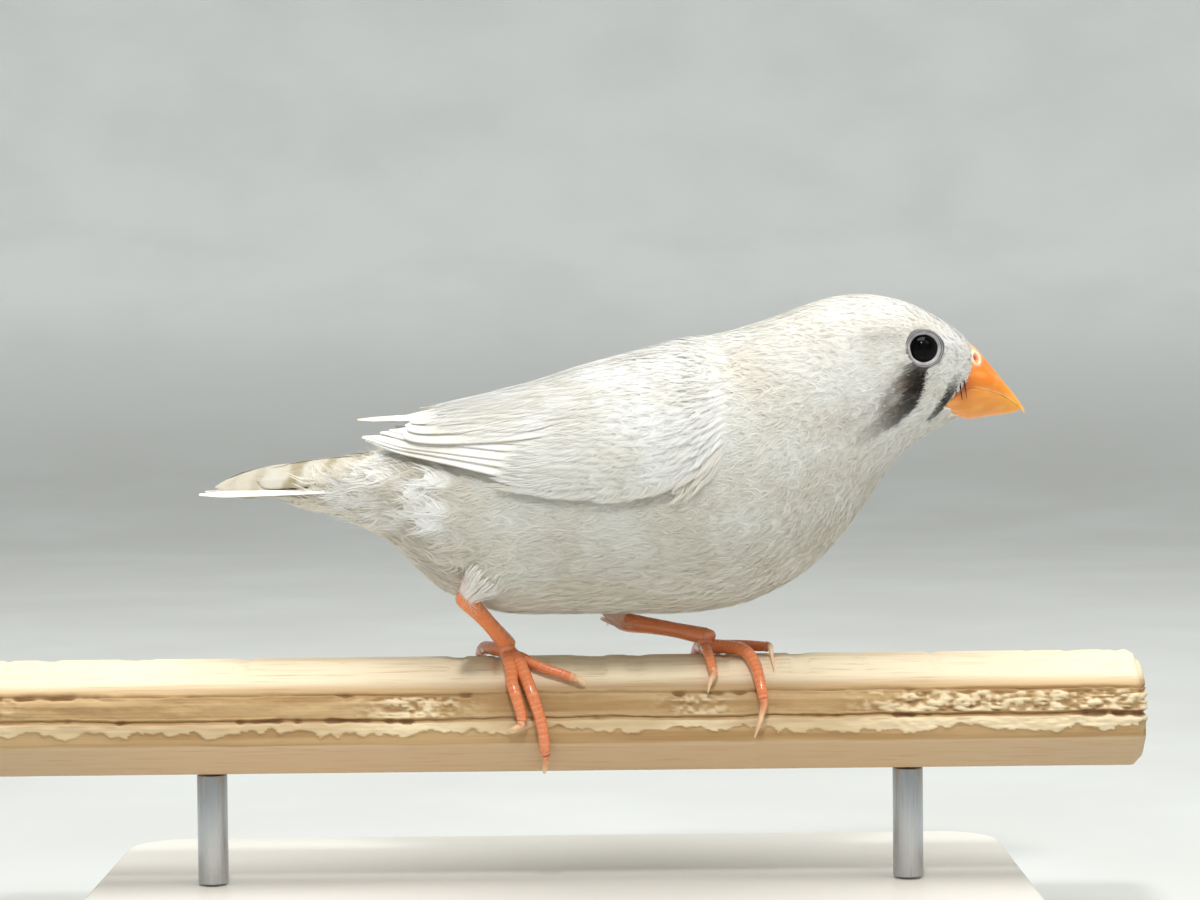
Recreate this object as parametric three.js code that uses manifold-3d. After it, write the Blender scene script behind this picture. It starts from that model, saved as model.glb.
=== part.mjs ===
// A zebra finch at life size, leaning forward on a cut length of dowel that a plain stand carries.
// Millimetres, +Z up. The bird looks along +X and its right side faces -Y.
// The origin is the middle of the underside of the stand's base.

import * as THREE from "three";
import { mergeVertices } from "three/addons/utils/BufferGeometryUtils.js";
import Module from "manifold-3d";

const wasm = await Module();
wasm.setup();

// Driving sizes of the stand and the perch
const GAP = 0.3;
const BASE = { length: 124, width: 74, height: 7, corner: 8, edge: 0.8 };
const ROD = { diameter: 4, apart: 92, sides: 16 };
const PERCH = { length: 153, flat: 7.4, corner: 7.75, axis: 29.4, chamfer: 1.1 };
const GROOVE = { depth: 0.9, width: 1.0, heights: [4.2, 0.9] };

// Driving sizes of the bird
const EYE = { x: 47.8, z: 77.1, radius: 2.35, depth: 2.05 };
const LID = { inner: 1.9, outer: 2.75, height: 0.42, stretch: 1.06 };
const NOSTRIL = { x: 55.3, angle: 47, width: 0.42, height: 0.62, rim: 0.17 };
const WING = { depth: 1.3, clearance: 0.35 };
const TOE = { sides: 6, scute: 1.45, plate: 0.18 };
const SHANK = { radius: 1.02, sides: 8, scutes: 7, plate: 0.18 };
const CLAW = { radius: 0.5, sides: 6, rings: 4, arch: 1.35, clearance: 0.42 };

const DEGREE = Math.PI / 180;

// Colours of the real surfaces
const finishes = {
  plumage: { color: 0xf4f2ec, roughness: 0.85 },
  bill: { color: 0xf2901f, roughness: 0.4 },
  eye: { color: 0x090707, roughness: 0.08 },
  leg: { color: 0xd9703f, roughness: 0.5 },
  claw: { color: 0xe8bd94, roughness: 0.4 },
  pine: { color: 0xe0c699, roughness: 0.75 },
  board: { color: 0xe4e1da, roughness: 0.6 },
  steel: { color: 0xb9bcbf, roughness: 0.35, metalness: 1 },
};
const materials = {};
for (const [name, finish] of Object.entries(finishes)) {
  materials[name] = new THREE.MeshStandardMaterial(finish);
}

const point = (x, y, z) => new THREE.Vector3(x, y, z);
const mix = (a, b, t) => a + (b - a) * t;
const clamp = (v) => Math.min(1, Math.max(0, v));
const ease = (v) => clamp(v) * clamp(v) * (3 - 2 * clamp(v));
const power = (v, exponent) => Math.sign(v) * Math.abs(v) ** exponent;

// A smooth curve through [position, value] pairs, straight beyond its ends.
function profile(pairs) {
  const slope = (i, j) => (pairs[j][1] - pairs[i][1]) / (pairs[j][0] - pairs[i][0]);
  const last = pairs.length - 1;
  const tangent = pairs.map((_, i) => slope(Math.max(0, i - 1), Math.min(last, i + 1)));
  return (x) => {
    if (x <= pairs[0][0]) return pairs[0][1] + tangent[0] * (x - pairs[0][0]);
    if (x >= pairs[last][0]) return pairs[last][1] + tangent[last] * (x - pairs[last][0]);
    const i = pairs.findIndex((pair, k) => k < last && x <= pairs[k + 1][0]);
    const span = pairs[i + 1][0] - pairs[i][0];
    const t = (x - pairs[i][0]) / span;
    const s = 1 - t;
    return (
      pairs[i][1] * (1 + 2 * t) * s * s +
      pairs[i + 1][1] * (3 - 2 * t) * t * t +
      span * (tangent[i] * t * s * s - tangent[i + 1] * s * t * t)
    );
  };
}

// A closed surface through rings of equal count, each end closed by a fan about its centre.
function loft(rings) {
  const count = rings[0].length;
  const places = rings.flat();
  const index = [];
  for (let r = 0; r + 1 < rings.length; r++) {
    for (let k = 0; k < count; k++) {
      const a = r * count + k;
      const b = r * count + ((k + 1) % count);
      index.push(a, b, b + count, a, b + count, a + count);
    }
  }
  for (const [ring, first] of [
    [rings[0], 0],
    [rings[rings.length - 1], (rings.length - 1) * count],
  ]) {
    const centre = places.length;
    places.push(ring.reduce((sum, p) => sum.add(p), point(0, 0, 0)).divideScalar(count));
    for (let k = 0; k < count; k++) {
      const next = (k + 1) % count;
      if (first === 0) index.push(centre, next, k);
      else index.push(centre, first + k, first + next);
    }
  }
  return surface(places, index);
}

// A thin closed plate. Its grid holds { inner, outer } points, split alike on both faces.
function plate(grid) {
  const rows = grid.length;
  const columns = grid[0].length;
  const places = [];
  for (const side of ["outer", "inner"]) {
    for (const row of grid) for (const cell of row) places.push(cell[side]);
  }
  const under = rows * columns;
  const at = (i, j) => i * columns + j;
  const index = [];
  for (let i = 0; i + 1 < rows; i++) {
    for (let j = 0; j + 1 < columns; j++) {
      const [a, b, c, d] = [at(i, j), at(i + 1, j), at(i + 1, j + 1), at(i, j + 1)];
      index.push(a, b, c, a, c, d);
      index.push(under + c, under + b, under + a, under + d, under + c, under + a);
    }
  }
  const rim = [];
  for (let i = 0; i < rows; i++) rim.push(at(i, 0));
  for (let j = 1; j < columns; j++) rim.push(at(rows - 1, j));
  for (let i = rows - 2; i >= 0; i--) rim.push(at(i, columns - 1));
  for (let j = columns - 2; j > 0; j--) rim.push(at(0, j));
  rim.forEach((a, k) => {
    const b = rim[(k + 1) % rim.length];
    index.push(a, under + a, under + b, a, under + b, b);
  });
  return surface(places, index);
}

function surface(places, index) {
  const geometry = new THREE.BufferGeometry().setFromPoints(places);
  geometry.setIndex(index);
  return geometry;
}

// The solid inside a closed geometry, turned to face outwards.
function solid(geometry) {
  const bare = new THREE.BufferGeometry();
  const flat = geometry.index ? geometry.toNonIndexed() : geometry;
  bare.setAttribute("position", flat.getAttribute("position"));
  const merged = mergeVertices(bare, 1e-4);
  const turn = (order) => {
    const triVerts = new Uint32Array(merged.index.array);
    for (let i = 0; order < 0 && i < triVerts.length; i += 3) {
      [triVerts[i + 1], triVerts[i + 2]] = [triVerts[i + 2], triVerts[i + 1]];
    }
    const vertProperties = new Float32Array(merged.attributes.position.array);
    return new wasm.Manifold(new wasm.Mesh({ numProp: 3, vertProperties, triVerts }));
  };
  const made = turn(1);
  return made.volume() < 0 ? turn(-1) : made;
}

const union = (solids) => solids.reduce((whole, next) => whole.add(next));

// A node's geometry: the largest closed surface of a solid.
function kept(body) {
  const largest = body.decompose().reduce((a, b) => (b.volume() > a.volume() ? b : a));
  const { numProp, numVert, vertProperties, triVerts } = largest.getMesh();
  const places = new Float32Array(numVert * 3);
  for (let i = 0; i < numVert; i++) {
    places.set(vertProperties.subarray(i * numProp, i * numProp + 3), i * 3);
  }
  const geometry = new THREE.BufferGeometry();
  geometry.setAttribute("position", new THREE.BufferAttribute(places, 3));
  geometry.setIndex(new THREE.BufferAttribute(new Uint32Array(triVerts), 1));
  geometry.computeVertexNormals();
  return geometry;
}

const finch = new THREE.Group();

function node(name, body, material) {
  const mesh = new THREE.Mesh(kept(body), materials[material]);
  mesh.name = name;
  finch.add(mesh);
}

// The body's outline. Each station has a point on the back, one on the breast and belly, the half width
// between them, and how far up from the lower point the body is widest.
const outline = [
  { back: [-27.3, 63.5], belly: [-26.6, 55.4], half: 6.0, widest: 0.5 },
  { back: [-20.6, 65.9], belly: [-21.4, 52.4], half: 9.2, widest: 0.52 },
  { back: [-13.9, 68.2], belly: [-15.4, 46.2], half: 12.6, widest: 0.5 },
  { back: [-7.3, 71.0], belly: [-7.8, 42.9], half: 15.2, widest: 0.48 },
  { back: [0.6, 73.9], belly: [0.3, 42.5], half: 16.9, widest: 0.48 },
  { back: [8.5, 76.4], belly: [8.5, 42.5], half: 17.7, widest: 0.48 },
  { back: [16.4, 78.3], belly: [16.8, 42.5], half: 17.8, widest: 0.48 },
  { back: [21.9, 79.4], belly: [24.8, 43.8], half: 17.0, widest: 0.49 },
  { back: [26.6, 80.7], belly: [31.6, 47.1], half: 15.3, widest: 0.5 },
  { back: [29.9, 81.8], belly: [36.1, 50.9], half: 13.2, widest: 0.52 },
  { back: [32.8, 82.9], belly: [39.7, 55.4], half: 11.3, widest: 0.54 },
  { back: [35.8, 83.8], belly: [42.4, 59.4], half: 9.9, widest: 0.56 },
  { back: [39.4, 84.3], belly: [45.0, 62.7], half: 9.0, widest: 0.58 },
  { back: [43.2, 84.0], belly: [47.6, 64.8], half: 8.3, widest: 0.6 },
  { back: [46.9, 82.9], belly: [49.8, 66.2], half: 7.4, widest: 0.62 },
  { back: [50.3, 81.1], belly: [51.6, 67.1], half: 6.3, widest: 0.66 },
  { back: [52.8, 79.4], belly: [53.0, 67.7], half: 5.1, widest: 0.68 },
  { back: [54.4, 77.9], belly: [54.2, 68.1], half: 4.1, widest: 0.68 },
  { back: [55.0, 76.4], belly: [54.8, 69.3], half: 2.9, widest: 0.66 },
];
const LAST = outline.length - 1;
const FULLNESS = 0.92;
const PART_AT = { torso: 8.45, neck: 11.55 };
const STEPS = { torso: 19, neck: 5, head: 15 };
const AROUND = 30;

const byStation = (pick) => profile(outline.map((station, i) => [i, pick(station)]));
const body = {
  backX: byStation((s) => s.back[0]),
  backZ: byStation((s) => s.back[1]),
  bellyX: byStation((s) => s.belly[0]),
  bellyZ: byStation((s) => s.belly[1]),
  half: byStation((s) => s.half),
  widest: byStation((s) => s.widest),
};

// A point of the body's surface: s counts stations from the tail, and the angle goes from the back (0)
// down the right side.
function bodyPoint(s, angle) {
  const widest = body.widest(s);
  const rise = power(Math.cos(angle), FULLNESS);
  const share = rise > 0 ? widest + (1 - widest) * rise : widest * (1 + rise);
  return point(
    mix(body.bellyX(s), body.backX(s), share),
    -body.half(s) * power(Math.sin(angle), FULLNESS),
    mix(body.bellyZ(s), body.backZ(s), share),
  );
}

function bodyLength(from, to, steps) {
  const rings = [];
  for (let i = 0; i <= steps; i++) {
    const s = mix(from, to, i / steps);
    const ring = [];
    for (let k = 0; k < AROUND; k++) ring.push(bodyPoint(s, (2 * Math.PI * k) / AROUND));
    rings.push(ring);
  }
  return solid(loft(rings));
}

// Half of the gap between two lengths, in stations, at a parting
const partingHalf = (s) => (0.5 * GAP) / Math.abs(body.bellyX(s + 0.5) - body.bellyX(s - 0.5));

// The place and outward direction on the body's right side that is seen at x and z
function bodySpot(x, z) {
  let [s, angle] = [LAST / 2, Math.PI / 2];
  for (let step = 2; step > 1e-4; step *= 0.7) {
    for (const [ds, da] of [[step, 0], [-step, 0], [0, 0.3 * step], [0, -0.3 * step]]) {
      const off = (a, b) => Math.hypot(bodyPoint(a, b).x - x, bodyPoint(a, b).z - z);
      const turned = Math.min(3, Math.max(0.05, angle + da));
      const moved = Math.min(LAST, Math.max(0, s + ds));
      while (off(moved, turned) < off(s, angle)) [s, angle] = [moved, turned];
    }
  }
  const place = bodyPoint(s, angle);
  const forward = bodyPoint(s + 0.01, angle).sub(place);
  const down = bodyPoint(s, angle + 0.01).sub(place);
  return { place, outward: down.cross(forward).normalize() };
}

// A tapered tube along a curve. Rings are { at, radius, plate }: "at" goes from 0 to 1 along the points,
// and "plate" raises the side that looks outward.
function tube(points, rings, sides, outward = () => point(0, 0, 1)) {
  const curve = new THREE.CatmullRomCurve3(points, false, "centripetal");
  return solid(
    loft(
      rings.map(({ at, radius, plate = 0 }) => {
        const centre = curve.getPointAt(at);
        const along = curve.getTangentAt(at);
        const across = outward(centre).cross(along).normalize();
        const up = along.clone().cross(across).normalize();
        const ring = [];
        for (let k = 0; k < sides; k++) {
          const angle = (2 * Math.PI * (k + 0.5)) / sides;
          const reach = radius + plate * Math.max(0, Math.sin(angle));
          const place = centre.clone().addScaledVector(across, reach * Math.cos(angle));
          ring.push(place.addScaledVector(up, reach * Math.sin(angle)));
        }
        return ring;
      }),
    ),
  );
}

// Rings for a smooth limb whose radius follows a profile
const evenRings = (count, radiusAt) =>
  Array.from({ length: count + 1 }, (_, i) => ({ at: i / count, radius: radiusAt(i / count) }));

function ball(centre, radius, stretch = point(1, 1, 1), detail = 20) {
  const geometry = new THREE.SphereGeometry(radius, detail, Math.round(detail / 2));
  geometry.scale(stretch.x, stretch.y, stretch.z);
  geometry.translate(centre.x, centre.y, centre.z);
  return solid(geometry);
}

// The perch is an octagonal dowel with blunt corners. The angle goes from its top towards the right
// side of the bird.
function perchRadius(angle) {
  const eighth = Math.PI / 4;
  const offset = angle - eighth * Math.round(angle / eighth);
  return Math.min(PERCH.flat / Math.cos(offset), PERCH.corner);
}

function perchPlace(x, degrees, lift) {
  const angle = degrees * DEGREE;
  const reach = perchRadius(angle) + lift;
  return point(x, -reach * Math.sin(angle), PERCH.axis + reach * Math.cos(angle));
}

// The dowel's section from the top round its right side, with the grooves in that side's flat face.
function perchSection() {
  const blunt = Math.acos(PERCH.flat / PERCH.corner);
  const ring = [];
  for (let k = 0; k < 8; k++) {
    for (const turn of [-blunt, blunt]) {
      const angle = (k * Math.PI) / 4 + turn;
      ring.push([-perchRadius(angle) * Math.sin(angle), perchRadius(angle) * Math.cos(angle)]);
    }
  }
  for (const height of GROOVE.heights) {
    for (const [rise, deep] of [
      [GROOVE.width / 2, 0],
      [0, GROOVE.depth],
      [-GROOVE.width / 2, 0],
    ]) {
      const angle = Math.atan2(PERCH.flat, height + rise);
      const reach = perchRadius(angle) - deep;
      ring.push([-reach * Math.sin(angle), reach * Math.cos(angle)]);
    }
  }
  const turned = ([y, z]) => (Math.atan2(-y, z) + 2 * Math.PI) % (2 * Math.PI);
  return ring.sort((p, q) => turned(p) - turned(q));
}

function makePerch() {
  const section = perchSection();
  const end = PERCH.length / 2;
  const stations = [
    [-end, 1 - PERCH.chamfer / PERCH.flat],
    [-end + PERCH.chamfer, 1],
    [end - PERCH.chamfer, 1],
    [end, 1 - PERCH.chamfer / PERCH.flat],
  ];
  const rings = stations.map(([x, scale]) =>
    section.map(([y, z]) => point(x, y * scale, PERCH.axis + z * scale)),
  );
  node("perch", solid(loft(rings)), "pine");
}

function makeStand() {
  const { length, width, height, corner, edge } = BASE;
  const plan = new THREE.Shape();
  const [x, y, r] = [length / 2 - edge, width / 2 - edge, corner];
  plan.moveTo(-x + r, -y);
  plan.lineTo(x - r, -y).absarc(x - r, -y + r, r, -Math.PI / 2, 0);
  plan.lineTo(x, y - r).absarc(x - r, y - r, r, 0, Math.PI / 2);
  plan.lineTo(-x + r, y).absarc(-x + r, y - r, r, Math.PI / 2, Math.PI);
  plan.lineTo(-x, -y + r).absarc(-x + r, -y + r, r, Math.PI, 1.5 * Math.PI);
  const geometry = new THREE.ExtrudeGeometry(plan, {
    depth: height - 2 * edge,
    bevelEnabled: true,
    bevelThickness: edge,
    bevelSize: edge,
    bevelSegments: 1,
    curveSegments: 3,
  });
  geometry.translate(0, 0, edge);
  node("stand_base", solid(geometry), "board");
  const from = height + GAP;
  const to = PERCH.axis - PERCH.flat - GAP;
  for (const [name, side] of [
    ["stand_rod_1", -1],
    ["stand_rod_2", 1],
  ]) {
    const rod = new THREE.CylinderGeometry(ROD.diameter / 2, ROD.diameter / 2, to - from, ROD.sides);
    rod.rotateX(Math.PI / 2);
    rod.translate((side * ROD.apart) / 2, 0, (from + to) / 2);
    node(name, solid(rod), "steel");
  }
}

// The folded wings lie on this cloak. Each station has its place along the body, the height on the back,
// the half width and the height at which it is widest.
const cloakStations = [
  { x: -26, back: 68.6, half: 5.6, level: 63.6 },
  { x: -20, back: 69.4, half: 9.0, level: 62.0 },
  { x: -14, back: 70.6, half: 12.8, level: 60.6 },
  { x: -4, back: 72.9, half: 16.6, level: 59.0 },
  { x: 6, back: 75.9, half: 18.2, level: 58.6 },
  { x: 16.4, back: 78.6, half: 18.4, level: 59.5 },
  { x: 27, back: 81.2, half: 16.2, level: 62.5 },
];
const alongCloak = (pick) => profile(cloakStations.map((station) => [station.x, station[pick]]));
const cloak = { back: alongCloak("back"), half: alongCloak("half"), level: alongCloak("level") };

// The lower edge of the folded wing as heights along the body, and the half width of the strip of back
// that the two wings leave bare
const lowerEdge = profile([
  [-25, 66.2],
  [-22, 65.4],
  [-14.5, 62.9],
  [-9.4, 61.4],
  [-4.4, 59.6],
  [0.6, 58.4],
  [4.4, 57.9],
  [8.2, 58.2],
  [12.5, 59.2],
  [17, 61.2],
  [21, 64.6],
  [24, 69],
]);
const bareBack = profile([
  [-25, 4.0],
  [-20, 1.6],
  [-14, 0.9],
  [-2, 1.2],
  [10, 4.2],
  [20, 7.2],
  [24, 9],
]);

// The two wings: the side they lie on, and how far the tip is raised and drawn back
const wings = {
  right: { side: 1, raise: 0, reach: 0 },
  left: { side: -1, raise: 1.75, reach: 2.0 },
};

// A point on a wing's side of the cloak, at an angle from the back and lifted off the surface
function cloakPlace(wing, x, angle, lift = 0) {
  const rear = ease((-13 - x) / 11);
  const y = -cloak.half(x) * power(Math.sin(angle), FULLNESS);
  const z = mix(cloak.level(x), cloak.back(x), power(Math.cos(angle), FULLNESS));
  const depth = cloak.back(x) - cloak.level(x);
  const away = point(0, -Math.sin(angle) / cloak.half(x), Math.cos(angle) / depth).normalize();
  const place = point(x, y, z).addScaledVector(away, lift);
  return point(x - wing.reach * rear, place.y * wing.side, place.z + wing.raise * rear);
}

// Angles on the cloak at a height, at a half width, and at a rise above the wing's lower edge
function angleAtHeight(x, z) {
  const share = clamp((z - cloak.level(x)) / (cloak.back(x) - cloak.level(x)));
  return Math.acos(share ** (1 / FULLNESS));
}

function angleAtHalf(x, y) {
  return Math.asin(clamp(y / cloak.half(x)) ** (1 / FULLNESS));
}

function angleAtRise(x, rise) {
  const girth = (cloak.half(x) + cloak.back(x) - cloak.level(x)) / 2;
  return angleAtHeight(x, lowerEdge(x)) - rise / girth;
}

// The wing's footprint as a plate between two lifts, its rim widened by a margin. The shoulder's rounded
// front takes closer stations.
const SHOULDER = [5, 10, 14, 17.5, 20.5, 22.3];
function wingPlate(wing, inner, outer, margin, stations) {
  const columns = 4;
  const grid = stations.map((x) => {
    const top = angleAtHalf(x, Math.max(0.35, bareBack(x) - margin));
    const low = Math.max(angleAtRise(x, -margin), top + 0.05);
    const row = [];
    for (let j = 0; j <= columns; j++) {
      const angle = mix(top, low, j / columns);
      row.push({
        inner: cloakPlace(wing, x, angle, inner),
        outer: cloakPlace(wing, x, angle, outer),
      });
    }
    return row;
  });
  return solid(plate(grid));
}

// The outline and thickness of a feather's vane, from its root (0) to its tip (1)
const LONG_VANE = [
  [0, 0.75],
  [0.55, 1],
  [0.9, 0.8],
  [1, 0.16],
];
const SHORT_VANE = [
  [0, 0.8],
  [0.6, 1],
  [0.9, 0.75],
  [1, 0.2],
];

// A feather's vane along a path of { place, outward, along }. Its second edge is raised by the tilt
// and its first sinks, so that each vane lies over the next one's edge. Lift is [root, tip].
function vane(path, spec) {
  const { half, tilt = 0, lift = [0, 0], side = 1, thickness = 0.5, shape = LONG_VANE } = spec;
  const grid = shape.map(([u, share]) => {
    const { place, outward, along } = path(u);
    const across = outward.clone().cross(along).normalize();
    const up = along.clone().cross(across).normalize();
    const thick = (thickness * (u === 1 ? 0.6 : 1)) / 2;
    return [-1, 1].map((edge) => {
      const centre = place
        .clone()
        .addScaledVector(across, side * edge * half * share)
        .addScaledVector(up, mix(lift[0], lift[1], u) + tilt * edge);
      return {
        inner: centre.clone().addScaledVector(up, -thick),
        outer: centre.addScaledVector(up, thick),
      };
    });
  });
  return solid(plate(grid));
}

// A path over the cloak from one [x, angle] to another
function cloakPath(wing, root, tip) {
  const at = (u, lift) => cloakPlace(wing, mix(root[0], tip[0], u), mix(root[1], tip[1], u), lift);
  return (u) => {
    const place = at(u, 0);
    return {
      place,
      outward: at(u, 1).sub(place).normalize(),
      along: at(u + 0.02, 0).sub(at(u - 0.02, 0)).normalize(),
    };
  };
}

// The tiers of one folded wing, each from its lowest feather upwards
function makeWing(name, wing) {
  const vanes = [];
  const lay = (root, tip, spec) => {
    vanes.push(vane(cloakPath(wing, root, tip), { side: wing.side, ...spec }));
  };
  const rise = (x, up) => [x, angleAtRise(x, up)];

  // Primaries and secondaries, stacked upwards from the lower edge
  for (let i = 0; i < 10; i++) {
    const tipX = Math.min(-24.4 + 0.5 * i + 0.2 * i * i, -9.6);
    lay(rise(1 + 0.5 * i, 1.05 + 0.95 * i), rise(tipX, 0.75 + 0.62 * i), {
      half: 1.1,
      tilt: 0.3,
      lift: [-0.38, -0.38],
    });
  }
  // Tertials, the broad feathers that cover the folded wing from above
  for (const [x, rootAngle, tipAngle, width] of [
    [-19.8, 60, 38, 4.6],
    [-19.5, 45, 27, 4.4],
    [-18.2, 31, 17, 3.8],
    [-13.5, 18, 11, 2.6],
  ]) {
    lay([7, rootAngle * DEGREE], [x, tipAngle * DEGREE], {
      half: width / 2,
      tilt: 0.34,
      lift: [-0.35, -0.15],
    });
  }
  // Greater coverts over the roots of the flight feathers
  for (let i = 0; i < 7; i++) {
    const x = -4.8 + 0.9 * i;
    lay(rise(x + 9, 0.9 + 1.4 * i), rise(x, 1.15 + 1.5 * i), {
      half: 1.4,
      tilt: 0.2,
      lift: [-0.3, 0.05],
      shape: SHORT_VANE,
    });
  }
  // Median coverts
  for (let i = 0; i < 5; i++) {
    const x = 1.4 + 1.1 * i;
    lay(rise(x + 7, 1.3 + 2.2 * i), rise(x, 1.6 + 2.3 * i), {
      half: 1.9,
      tilt: 0.2,
      lift: [-0.1, 0.3],
      shape: SHORT_VANE,
    });
  }
  // Scapulars, from the shoulder over the roots of the tertials
  for (let i = 0; i < 3; i++) {
    lay([14, (47 - 12 * i) * DEGREE], [-1.5 + i, (41 - 12 * i) * DEGREE], {
      half: 2.2,
      tilt: 0.26,
      lift: [-0.1, 0.3],
      shape: SHORT_VANE,
    });
  }
  // The shoulder, with the small coverts
  const shoulder = wingPlate(wing, -WING.depth, 0.2, 0, [...SHOULDER, 23.6]);
  node(name, union([shoulder, ...vanes]), "plumage");
}

const flipped = (body) => body.mirror([0, 1, 0]);

// The tail: a root that meets the torso, and from it twelve tail feathers laid like a roof, with long
// coverts over them and short ones below
const TAIL = { root: -27.3 - GAP, end: -38, sides: 14 };
const COVERT_ROOT = TAIL.root - 0.6;
const tailTop = profile([
  [-44.8, 59.9],
  [-42.4, 60.9],
  [-37.7, 62.1],
  [-33.8, 62.8],
  [TAIL.root, 63.2],
]);
const tailUnder = profile([
  [-38, 58.3],
  [-34, 57.2],
  [-31, 56.4],
  [TAIL.root, 55.9],
]);

function tailRoot() {
  const rings = [
    [TAIL.root, 5.7, 0, 0],
    [-31, 4.8, 0.5, 0.9],
    [-35, 3.9, 1.0, 1.6],
    [TAIL.end, 2.8, 1.3, 0.5],
  ].map(([x, half, sunk, raised]) => {
    const ring = [];
    for (let k = 0; k < TAIL.sides; k++) {
      const angle = (2 * Math.PI * k) / TAIL.sides;
      const share = (1 + power(Math.cos(angle), 0.85)) / 2;
      const z = mix(tailUnder(x) + raised, tailTop(x) - sunk, share);
      ring.push(point(x, -half * power(Math.sin(angle), 0.85), z));
    }
    return ring;
  });
  return solid(loft(rings));
}

// A straight path for a vane whose flat side is rolled about the body's length
function straightPath(root, tip, roll, sag = 0) {
  const along = tip.clone().sub(root).normalize();
  const outward = point(0, -Math.sin(roll), Math.cos(roll));
  return (u) => ({
    place: root.clone().lerp(tip, u).addScaledVector(outward, sag * 4 * u * (1 - u)),
    outward,
    along,
  });
}

function makeTail() {
  const vanes = [];
  for (const side of [1, -1]) {
    const lay = (root, tip, roll, spec) => {
      const turned = ([x, y, z]) => point(x, -side * y, z);
      const path = straightPath(turned(root), turned(tip), side * roll * DEGREE, spec.sag);
      vanes.push(vane(path, spec));
    };
    // Tail feathers from the middle pair outwards, each under the one before
    for (let i = 0; i < 6; i++) {
      const root = [-30.5, 1.1 + 0.5 * i, 61.2 - 0.42 * i];
      const tip = [-44.7 - 0.32 * i, 1.15 + 0.66 * i, 60.0 - 0.14 * i];
      lay(root, tip, 24 - 3 * i, { half: 1.75, sag: 0.1 });
    }
    // Long coverts over the tail, as [tip x, tip y, root y, roll]
    for (const [x, y, root, roll] of [
      [-37.4, 3.6, 4.2, 50],
      [-39.6, 2.6, 3.0, 40],
      [-41.8, 1.1, 1.3, 20],
      [-34.6, 4.1, 4.5, 60],
    ]) {
      const height = (at, off) => tailTop(at) - 0.085 * off * off;
      const spec = { half: 1.5, thickness: 0.55, sag: 0.15 };
      lay([COVERT_ROOT, root, height(COVERT_ROOT, root) - 0.35], [x, y, height(x, y) - 0.1], roll, spec);
    }
    // Coverts under the tail
    for (const [x, y, root, roll] of [
      [-38.0, 1.1, 1.4, 164],
      [-35.0, 2.6, 3.2, 148],
      [-32.5, 3.6, 4.3, 128],
    ]) {
      const height = (at, off) => tailUnder(at) + 0.075 * off * off;
      const spec = { half: 1.6, thickness: 0.55 };
      lay([COVERT_ROOT, root, height(COVERT_ROOT, root) + 0.5], [x, y, height(x, y) + 0.1], roll, spec);
    }
  }
  node("tail", union([tailRoot(), ...vanes]), "plumage");
}

// The bill's outlines by place along the body: the ridge, the edge where it closes, the keel below and
// the half width at that edge
const ridge = profile([
  [50.6, 80.0],
  [54.6, 77.6],
  [55.9, 76.3],
  [57.2, 74.7],
  [58.5, 73.1],
  [59.8, 71.5],
  [60.8, 70.2],
  [61.6, 68.9],
]);
const cuttingEdge = profile([
  [50.6, 69.6],
  [52.3, 70.5],
  [54.0, 71.7],
  [56.5, 71.4],
  [58.9, 70.5],
  [60.8, 69.2],
  [61.6, 68.4],
]);
const keel = profile([
  [50.6, 68.6],
  [53.2, 67.9],
  [54.4, 67.7],
  [57.1, 68.0],
  [60.2, 68.5],
  [60.9, 68.75],
]);
const billHalf = profile([
  [50.6, 4.8],
  [52.3, 4.55],
  [54.5, 4.1],
  [56.4, 3.4],
  [58.4, 2.4],
  [60.2, 1.35],
  [61.1, 0.75],
  [61.6, 0.35],
]);

// A point of one half of the bill, an arch over its closing edge (side 1) or under it (side -1). Swell
// widens the arch, and lift holds it off the edge.
function billPlace(x, angle, { crest, side, swell = 0, lift = 0 }) {
  const edge = cuttingEdge(x) + side * lift;
  const y = (billHalf(x) + swell) * power(Math.cos(angle), 0.95);
  return point(x, y, mix(edge, crest(x) + side * swell, Math.sin(angle) ** 1.05));
}

function billShell(stations, arch, half) {
  const rings = stations.map((x) => {
    const ring = [];
    for (let k = 0; k <= arch; k++) ring.push(billPlace(x, (Math.PI * k) / arch, half));
    const { z } = ring[0];
    ring.push(point(x, -billHalf(x) * 0.4, z), point(x, billHalf(x) * 0.4, z));
    return ring;
  });
  return solid(loft(rings));
}

const BILL_STATIONS = {
  upper: [50.8, 52.4, 54, 55.2, 56.4, 57.6, 58.8, 59.8, 60.6, 61.2, 61.6],
  lower: [50.8, 52.4, 54, 55.6, 57.2, 58.6, 59.7, 60.5, 60.9],
  room: [50.4, 51.2, 52.4, 54, 55.2, 56.4],
};

// The left nostril, an upright oval pit with a raised rim
function nostril() {
  const half = { crest: ridge, side: 1 };
  const angle = NOSTRIL.angle * DEGREE;
  const place = billPlace(NOSTRIL.x, angle, half);
  const forward = billPlace(NOSTRIL.x + 0.05, angle, half).sub(place);
  const up = billPlace(NOSTRIL.x, angle + 0.02, half).sub(place);
  const outward = up.cross(forward).normalize();
  const across = point(0, 0, 1).cross(outward).normalize();
  const upright = outward.clone().cross(across);
  const turn = new THREE.Matrix4().makeBasis(across, upright, outward).setPosition(place);
  const { width, height, rim } = NOSTRIL;
  const ring = new THREE.TorusGeometry(1, rim / width, 4, 10);
  ring.scale(width, height, width);
  const pit = new THREE.SphereGeometry(1, 8, 4);
  pit.scale(width - 0.3 * rim, height - 0.3 * rim, 0.5);
  const room = new THREE.SphereGeometry(1, 8, 5);
  room.scale(width + rim + GAP, height + rim + GAP, 1.6);
  return [ring, pit, room].map((geometry) => solid(geometry.applyMatrix4(turn)));
}

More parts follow.
